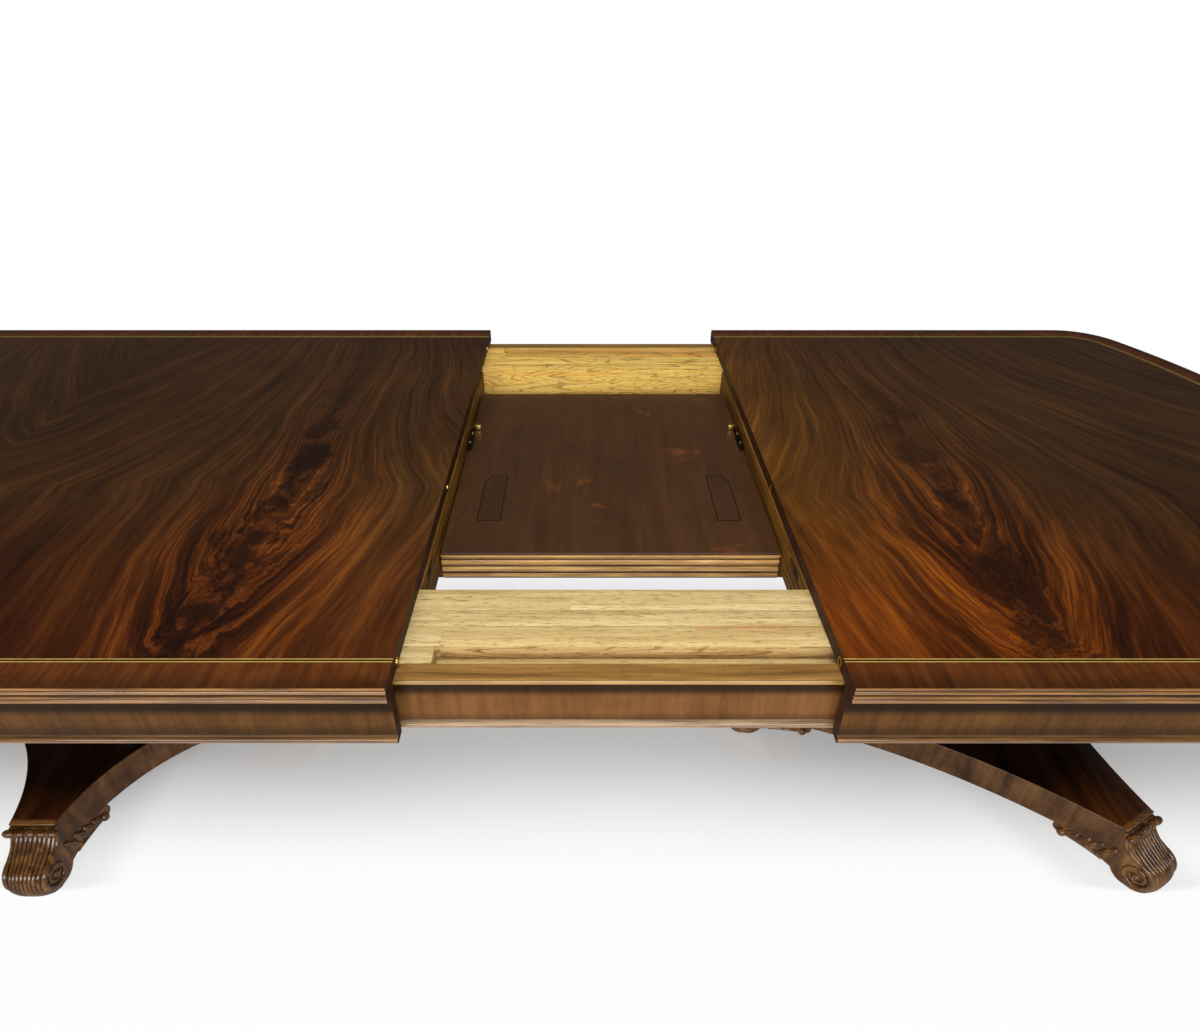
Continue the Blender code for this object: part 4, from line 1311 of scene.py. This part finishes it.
# Side rails: two golden oak rails join the banks of each well. A rebated strip is glued under each of them
# from the leaf's near edge to the back, and its ledge carries the leaf. Their edges are eased.
rail_ease = 0.0009
ledge_out = 0.246
rail_in = 0.2645
rail_out = 0.2885
ledge_thick = 0.011
bar_high = 0.063
strip_set_in = 0.020
low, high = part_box("right_side_rail_inner")
rail_bottom = low.z
rail_reach = high.y
low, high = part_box("right_leaf_upper")
well_centre = (low.x + high.x) / 2
leaf_near = low.y
golden_oak = oiled_wood("golden_oak", shade(76, 47, 12), shade(108, 70, 20), shade(140, 96, 38), turn=90.0,
                        roughness=0.55, ringed=0.35)
ledge_top = rail_bottom + ledge_thick
bar_bottom = well_top - bar_high
strip_outline = [(ledge_out, rail_bottom), (rail_out, rail_bottom), (rail_out, bar_bottom),
                 (rail_in, bar_bottom), (rail_in, ledge_top), (ledge_out, ledge_top)]
for side, sign in sides.items():
    for place, way in (("inner", -sign), ("outer", sign)):
        shape = bmesh.new()
        ends = (leaf_near + strip_set_in, rail_reach)
        lines = [[(sign * well_centre + way * x, y, z) for x, z in strip_outline] for y in ends]
        rows = swept(shape, lines, True)
        for row in rows:
            capped(shape, row)
        bmesh.ops.recalc_face_normals(shape, faces=shape.faces)
        rounded(shape, [edge for edge in shape.edges if edge.is_convex], rail_ease, 2)
        xs = sorted((sign * well_centre + way * rail_in, sign * well_centre + way * rail_out))
        block(shape, (xs[0], -rail_reach, bar_bottom), (xs[1], rail_reach, well_top), rail_ease)
        piece(f"{side}_side_rail_{place}_rebated", shape, [golden_oak], f"{side}_well", "golden_oak",
              f"{side}_side_rail_{place}")


# Leaf locks and keepers: a blackened bracket is screwed along each side edge of the folded leaf's upper half,
# with two brass screws in its upright flange and a brass tongue at its far end. Dark keepers sit on the side
# rails.
lock_near = 0.076
lock_long = 0.086
lock_inset = 0.0012
lock_wide = 0.0085
lock_high = 0.0100
lock_thick = 0.0016
lock_sunk = 0.0008
metal_ease = 0.0004
tongue_long = 0.010
tongue_wide = 0.0160
tongue_high = 0.0112
tongue_gap = 0.001
tongue_ease = 0.0012
screw_radius = 0.0034
screw_proud = 0.0021
screw_root = 0.001
screw_places = (0.26, 0.70)
screw_level = 0.6
keeper_near = -0.354
keeper_long = 0.044
keeper_high = 0.011
keeper_drop = 0.007
keeper_proud = 0.0018
keeper_root = 0.0015
keeper_over = 0.001
black_metal, tree, surface = finish("blackened_metal", 0.42, 0.0, specular=0.5)
surface["Metallic"].default_value = 0.8
spots = noise(tree, object_place(tree), 340.0, 3.0).outputs["Fac"]
sheen = eased(tree, spots, 0.3, 0.7, 0.34, 0.52)
colour = ramp(tree, spots, (0.35, shade(20, 15, 11)), (0.65, shade(52, 38, 24)))
dressed(tree, surface, colour, sheen, spots, 0.00005)
screw_profile = [(0.0, screw_proud), (0.45 * screw_radius, 0.96 * screw_proud),
                 (0.8 * screw_radius, 0.8 * screw_proud), (screw_radius, 0.35 * screw_proud),
                 (screw_radius, -screw_root), (0.0, -screw_root)]
leaf_half_wide = (high.x - low.x) / 2
leaf_top = high.z


def ahead(start, way, first, second, near, far, base, top):
    """The low and high corners of a block that lies between two distances from a plane across the table."""
    xs = sorted((start + way * first, start + way * second))
    return (xs[0], near, base), (xs[1], far, top)


for side, sign in sides.items():
    for place, way in (("inner", -1), ("outer", 1)):
        inward = -sign * way
        edge_x = sign * (well_centre + way * leaf_half_wide)
        far = lock_near + lock_long
        sunk = leaf_top - lock_sunk
        flange = lock_inset + lock_thick
        bar = far + tongue_gap
        shape = bmesh.new()
        block(shape, *ahead(edge_x, inward, lock_inset, lock_wide, lock_near, far, sunk,
                            leaf_top + lock_thick), metal_ease)
        block(shape, *ahead(edge_x, inward, lock_inset, flange, lock_near, far, sunk,
                            leaf_top + lock_high), metal_ease)
        block(shape, *ahead(edge_x, inward, lock_inset, tongue_wide, bar, bar + tongue_long, sunk,
                            leaf_top + tongue_high), tongue_ease, 1)
        quarter = Matrix.Rotation(inward * math.pi / 2, 4, "Y")
        for share in screw_places:
            middle = (edge_x + inward * flange, lock_near + share * lock_long,
                      leaf_top + screw_level * lock_high)
            before = set(shape.faces)
            lathe(shape, screw_profile, 20, Matrix.Translation(middle) @ quarter)
            for made in set(shape.faces) - before:
                made.material_index = 1
        piece(f"{side}_leaf_lock_{place}", shape, [black_metal, bright_brass], f"{side}_leaf_upper", "brass")
        face_x = sign * (well_centre + way * rail_in)
        keeper_top = well_top - keeper_drop
        shape = bmesh.new()
        block(shape, *ahead(face_x, inward, -keeper_root, 0.6 * keeper_proud, keeper_near,
                            keeper_near + keeper_long, keeper_top - keeper_high, keeper_top), metal_ease)
        block(shape, *ahead(face_x, inward, -keeper_root, keeper_proud, keeper_near + 0.3 * keeper_long,
                            keeper_near + 0.5 * keeper_long, keeper_top - keeper_high,
                            keeper_top + keeper_over), metal_ease)
        piece(f"{side}_keeper_{place}", shape, [black_metal], f"{side}_well", "brass")


# Leaves: each leaf is folded like a book, with its show faces together and its plain polished underside up.
# Its halves are hinged along the far edge, its outer edges have two reeds each, and two patches are let in.
leaf_gap = 0.00015
notch = 0.0031
dark_turns = 3
patch_long = 0.150
patch_wide = 0.036
patch_side = 0.047
patch_near = 0.095
patch_seam = 0.0020
patch_clip = 0.012
patch_proud = 0.00025
patch_sunk = 0.001
low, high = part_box("right_leaf_upper")
leaf_far = high.y
leaf_left = low.x
leaf_right = high.x
leaf_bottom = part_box("right_leaf_lower")[0].z
fold_level = (leaf_top + leaf_bottom) / 2
show_level = fold_level - leaf_gap
leaf_deep = leaf_far - leaf_near
leaf_inlay = [(inset, show_level) for inset, height in inlay]
leaf_section = [(leaf_deep, leaf_bottom), (leaf_deep, show_level - notch),
                (leaf_deep - notch, show_level - notch), (leaf_deep - notch, show_level)]
leaf_edge = reeded_edge(leaf_bottom, show_level, 0.0)
leaf_section += leaf_inlay + leaf_edge + [(reed_depth, leaf_bottom)]
dark_face = underside + 1
leaf_slots = [underside] * 3 + [field] + inlay_slots
leaf_slots += [moulding] * (len(leaf_edge) - 1 - dark_turns) + [dark_face] * (dark_turns + 2)


def flat_veneer(name, deep, middle, light, turn, roughness, coat):
    """Plain figured veneer with soft streaks, laid flat."""
    mat, tree, surface = finish(name, roughness, coat, 0.12, 0.15)
    place = object_place(tree)
    streaks = streaky(tree, turned_place(tree, turn), (4.0, 46.0, 46.0), 5.0, 0.6, 0.5)
    clouds = noise(tree, place, 7.0, 3.0, 0.6, 0.4).outputs["Fac"]
    figure = weighed(tree, streaks, clouds, 0.6)
    sheen = eased(tree, streaks, 0.3, 0.7, roughness - 0.04, roughness + 0.08)
    colour = ramp(tree, figure, (0.36, deep), (0.50, middle), (0.64, light))
    dressed(tree, surface, colour, sheen, streaks, 0.00005)
    return mat


leaf_dark = flat_veneer("leaf_underside", shade(60, 38, 20), shade(69, 43, 23), shade(78, 48, 25), 90.0,
                        0.42, 0.05)
tree = leaf_dark.node_tree
surface = tree.nodes["Principled BSDF"].inputs
rubbed = noise(tree, object_place(tree), 11.0, 4.0, 0.6, 0.6).outputs["Fac"]
plain_tone = surface["Base Color"].links[0].from_socket
tree.links.new(mixed(tree, eased(tree, rubbed, 0.60, 0.76, 0.0, 0.55), plain_tone, shade(132, 76, 32)),
               surface["Base Color"])
# The leaf's reeds are painted much lighter than its faces: painted light on the near edge.
leaf_reeds_lit = polished_moulding("leaf_reeds_lit", shade(164, 112, 48), shade(240, 188, 106))
patch_wood = flat_veneer("leaf_patch", shade(54, 34, 18), shade(62, 39, 21), shade(70, 44, 24), 90.0,
                         0.46, 0.05)
# The dark frame round each patch, a little larger and set lower, is painted shadow in the seam.
patch_seam_shadow, tree, surface = finish("patch_seam_shadow", 0.6, 0.0)
seam_shadow_noise = noise(tree, object_place(tree), 400.0).outputs["Fac"]
tree.links.new(ramp(tree, seam_shadow_noise, (0.3, shade(10, 6, 4)), (0.7, shade(24, 14, 9))), surface["Base Color"])


def leaf_half(name, sign, mirrored, body, cad_node, looks):
    """One half of a folded leaf. The upper half mirrors the lower one about the fold."""
    shape = bmesh.new()
    section = [(leaf_near + inset, 2.0 * fold_level - height if mirrored else height)
               for inset, height in leaf_section]
    stations = sorted((sign * leaf_left, sign * leaf_right))
    rows = swept(shape, [[(x, y, z) for y, z in section] for x in stations], True, leaf_slots)
    for row in rows:
        capped(shape, row, underside)
    map_run(shape, rows, stations, [inset for inset, height in leaf_section])
    piece(name, shape, looks, body, "leaf_mahogany", cad_node)


def patch_outline(low_x, high_x, clipped_low, grown):
    """A long patch with one far corner cut off, grown by a margin."""
    near = leaf_near + patch_near - grown
    far = leaf_near + patch_near + patch_long + grown
    low_x, high_x = low_x - grown, high_x + grown
    cut = far - 2.0 * patch_clip
    if clipped_low:
        return [(low_x, near), (high_x, near), (high_x, far), (low_x + patch_clip, far), (low_x, cut)]
    return [(low_x, near), (high_x, near), (high_x, cut), (high_x - patch_clip, far), (low_x, far)]


for side, sign in sides.items():
    looks = board_looks(f"{side}_leaf", 5.0 + sign, 0.6, even, even, 1.0, 0.86)
    looks[moulding] = leaf_reeds_lit
    looks.append(leaf_dark)
    leaf_half(f"{side}_leaf_lower_half", sign, False, f"{side}_leaf_lower", f"{side}_leaf_lower", looks)
    leaf_half(f"{side}_leaf_upper_half", sign, True, f"{side}_leaf_upper", f"{side}_leaf_upper", looks)
    shape = bmesh.new()
    edges = sorted((sign * leaf_left, sign * leaf_right))
    for start, clipped_low in ((edges[0] + patch_side, True), (edges[1] - patch_side - patch_wide, False)):
        # The first outline, grown by the seam and kept lower, is that dark frame of painted shadow.
        for grown, proud, slot in ((patch_seam, 0.3 * patch_proud, 1), (0.0, patch_proud, 0)):
            outline = patch_outline(start, start + patch_wide, clipped_low, grown)
            levels = (leaf_top - patch_sunk, leaf_top + proud)
            lines = [[(x, y, z) for x, y in outline] for z in levels]
            rows = swept(shape, lines, True, [slot] * len(outline))
            for row in rows:
                capped(shape, row, slot)
    piece(f"{side}_leaf_patches", shape, [patch_wood, patch_seam_shadow], f"{side}_leaf_upper", "leaf_mahogany")
    for material_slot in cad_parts[f"{side}_leaf_hinge"].material_slots:
        material_slot.material = bright_brass
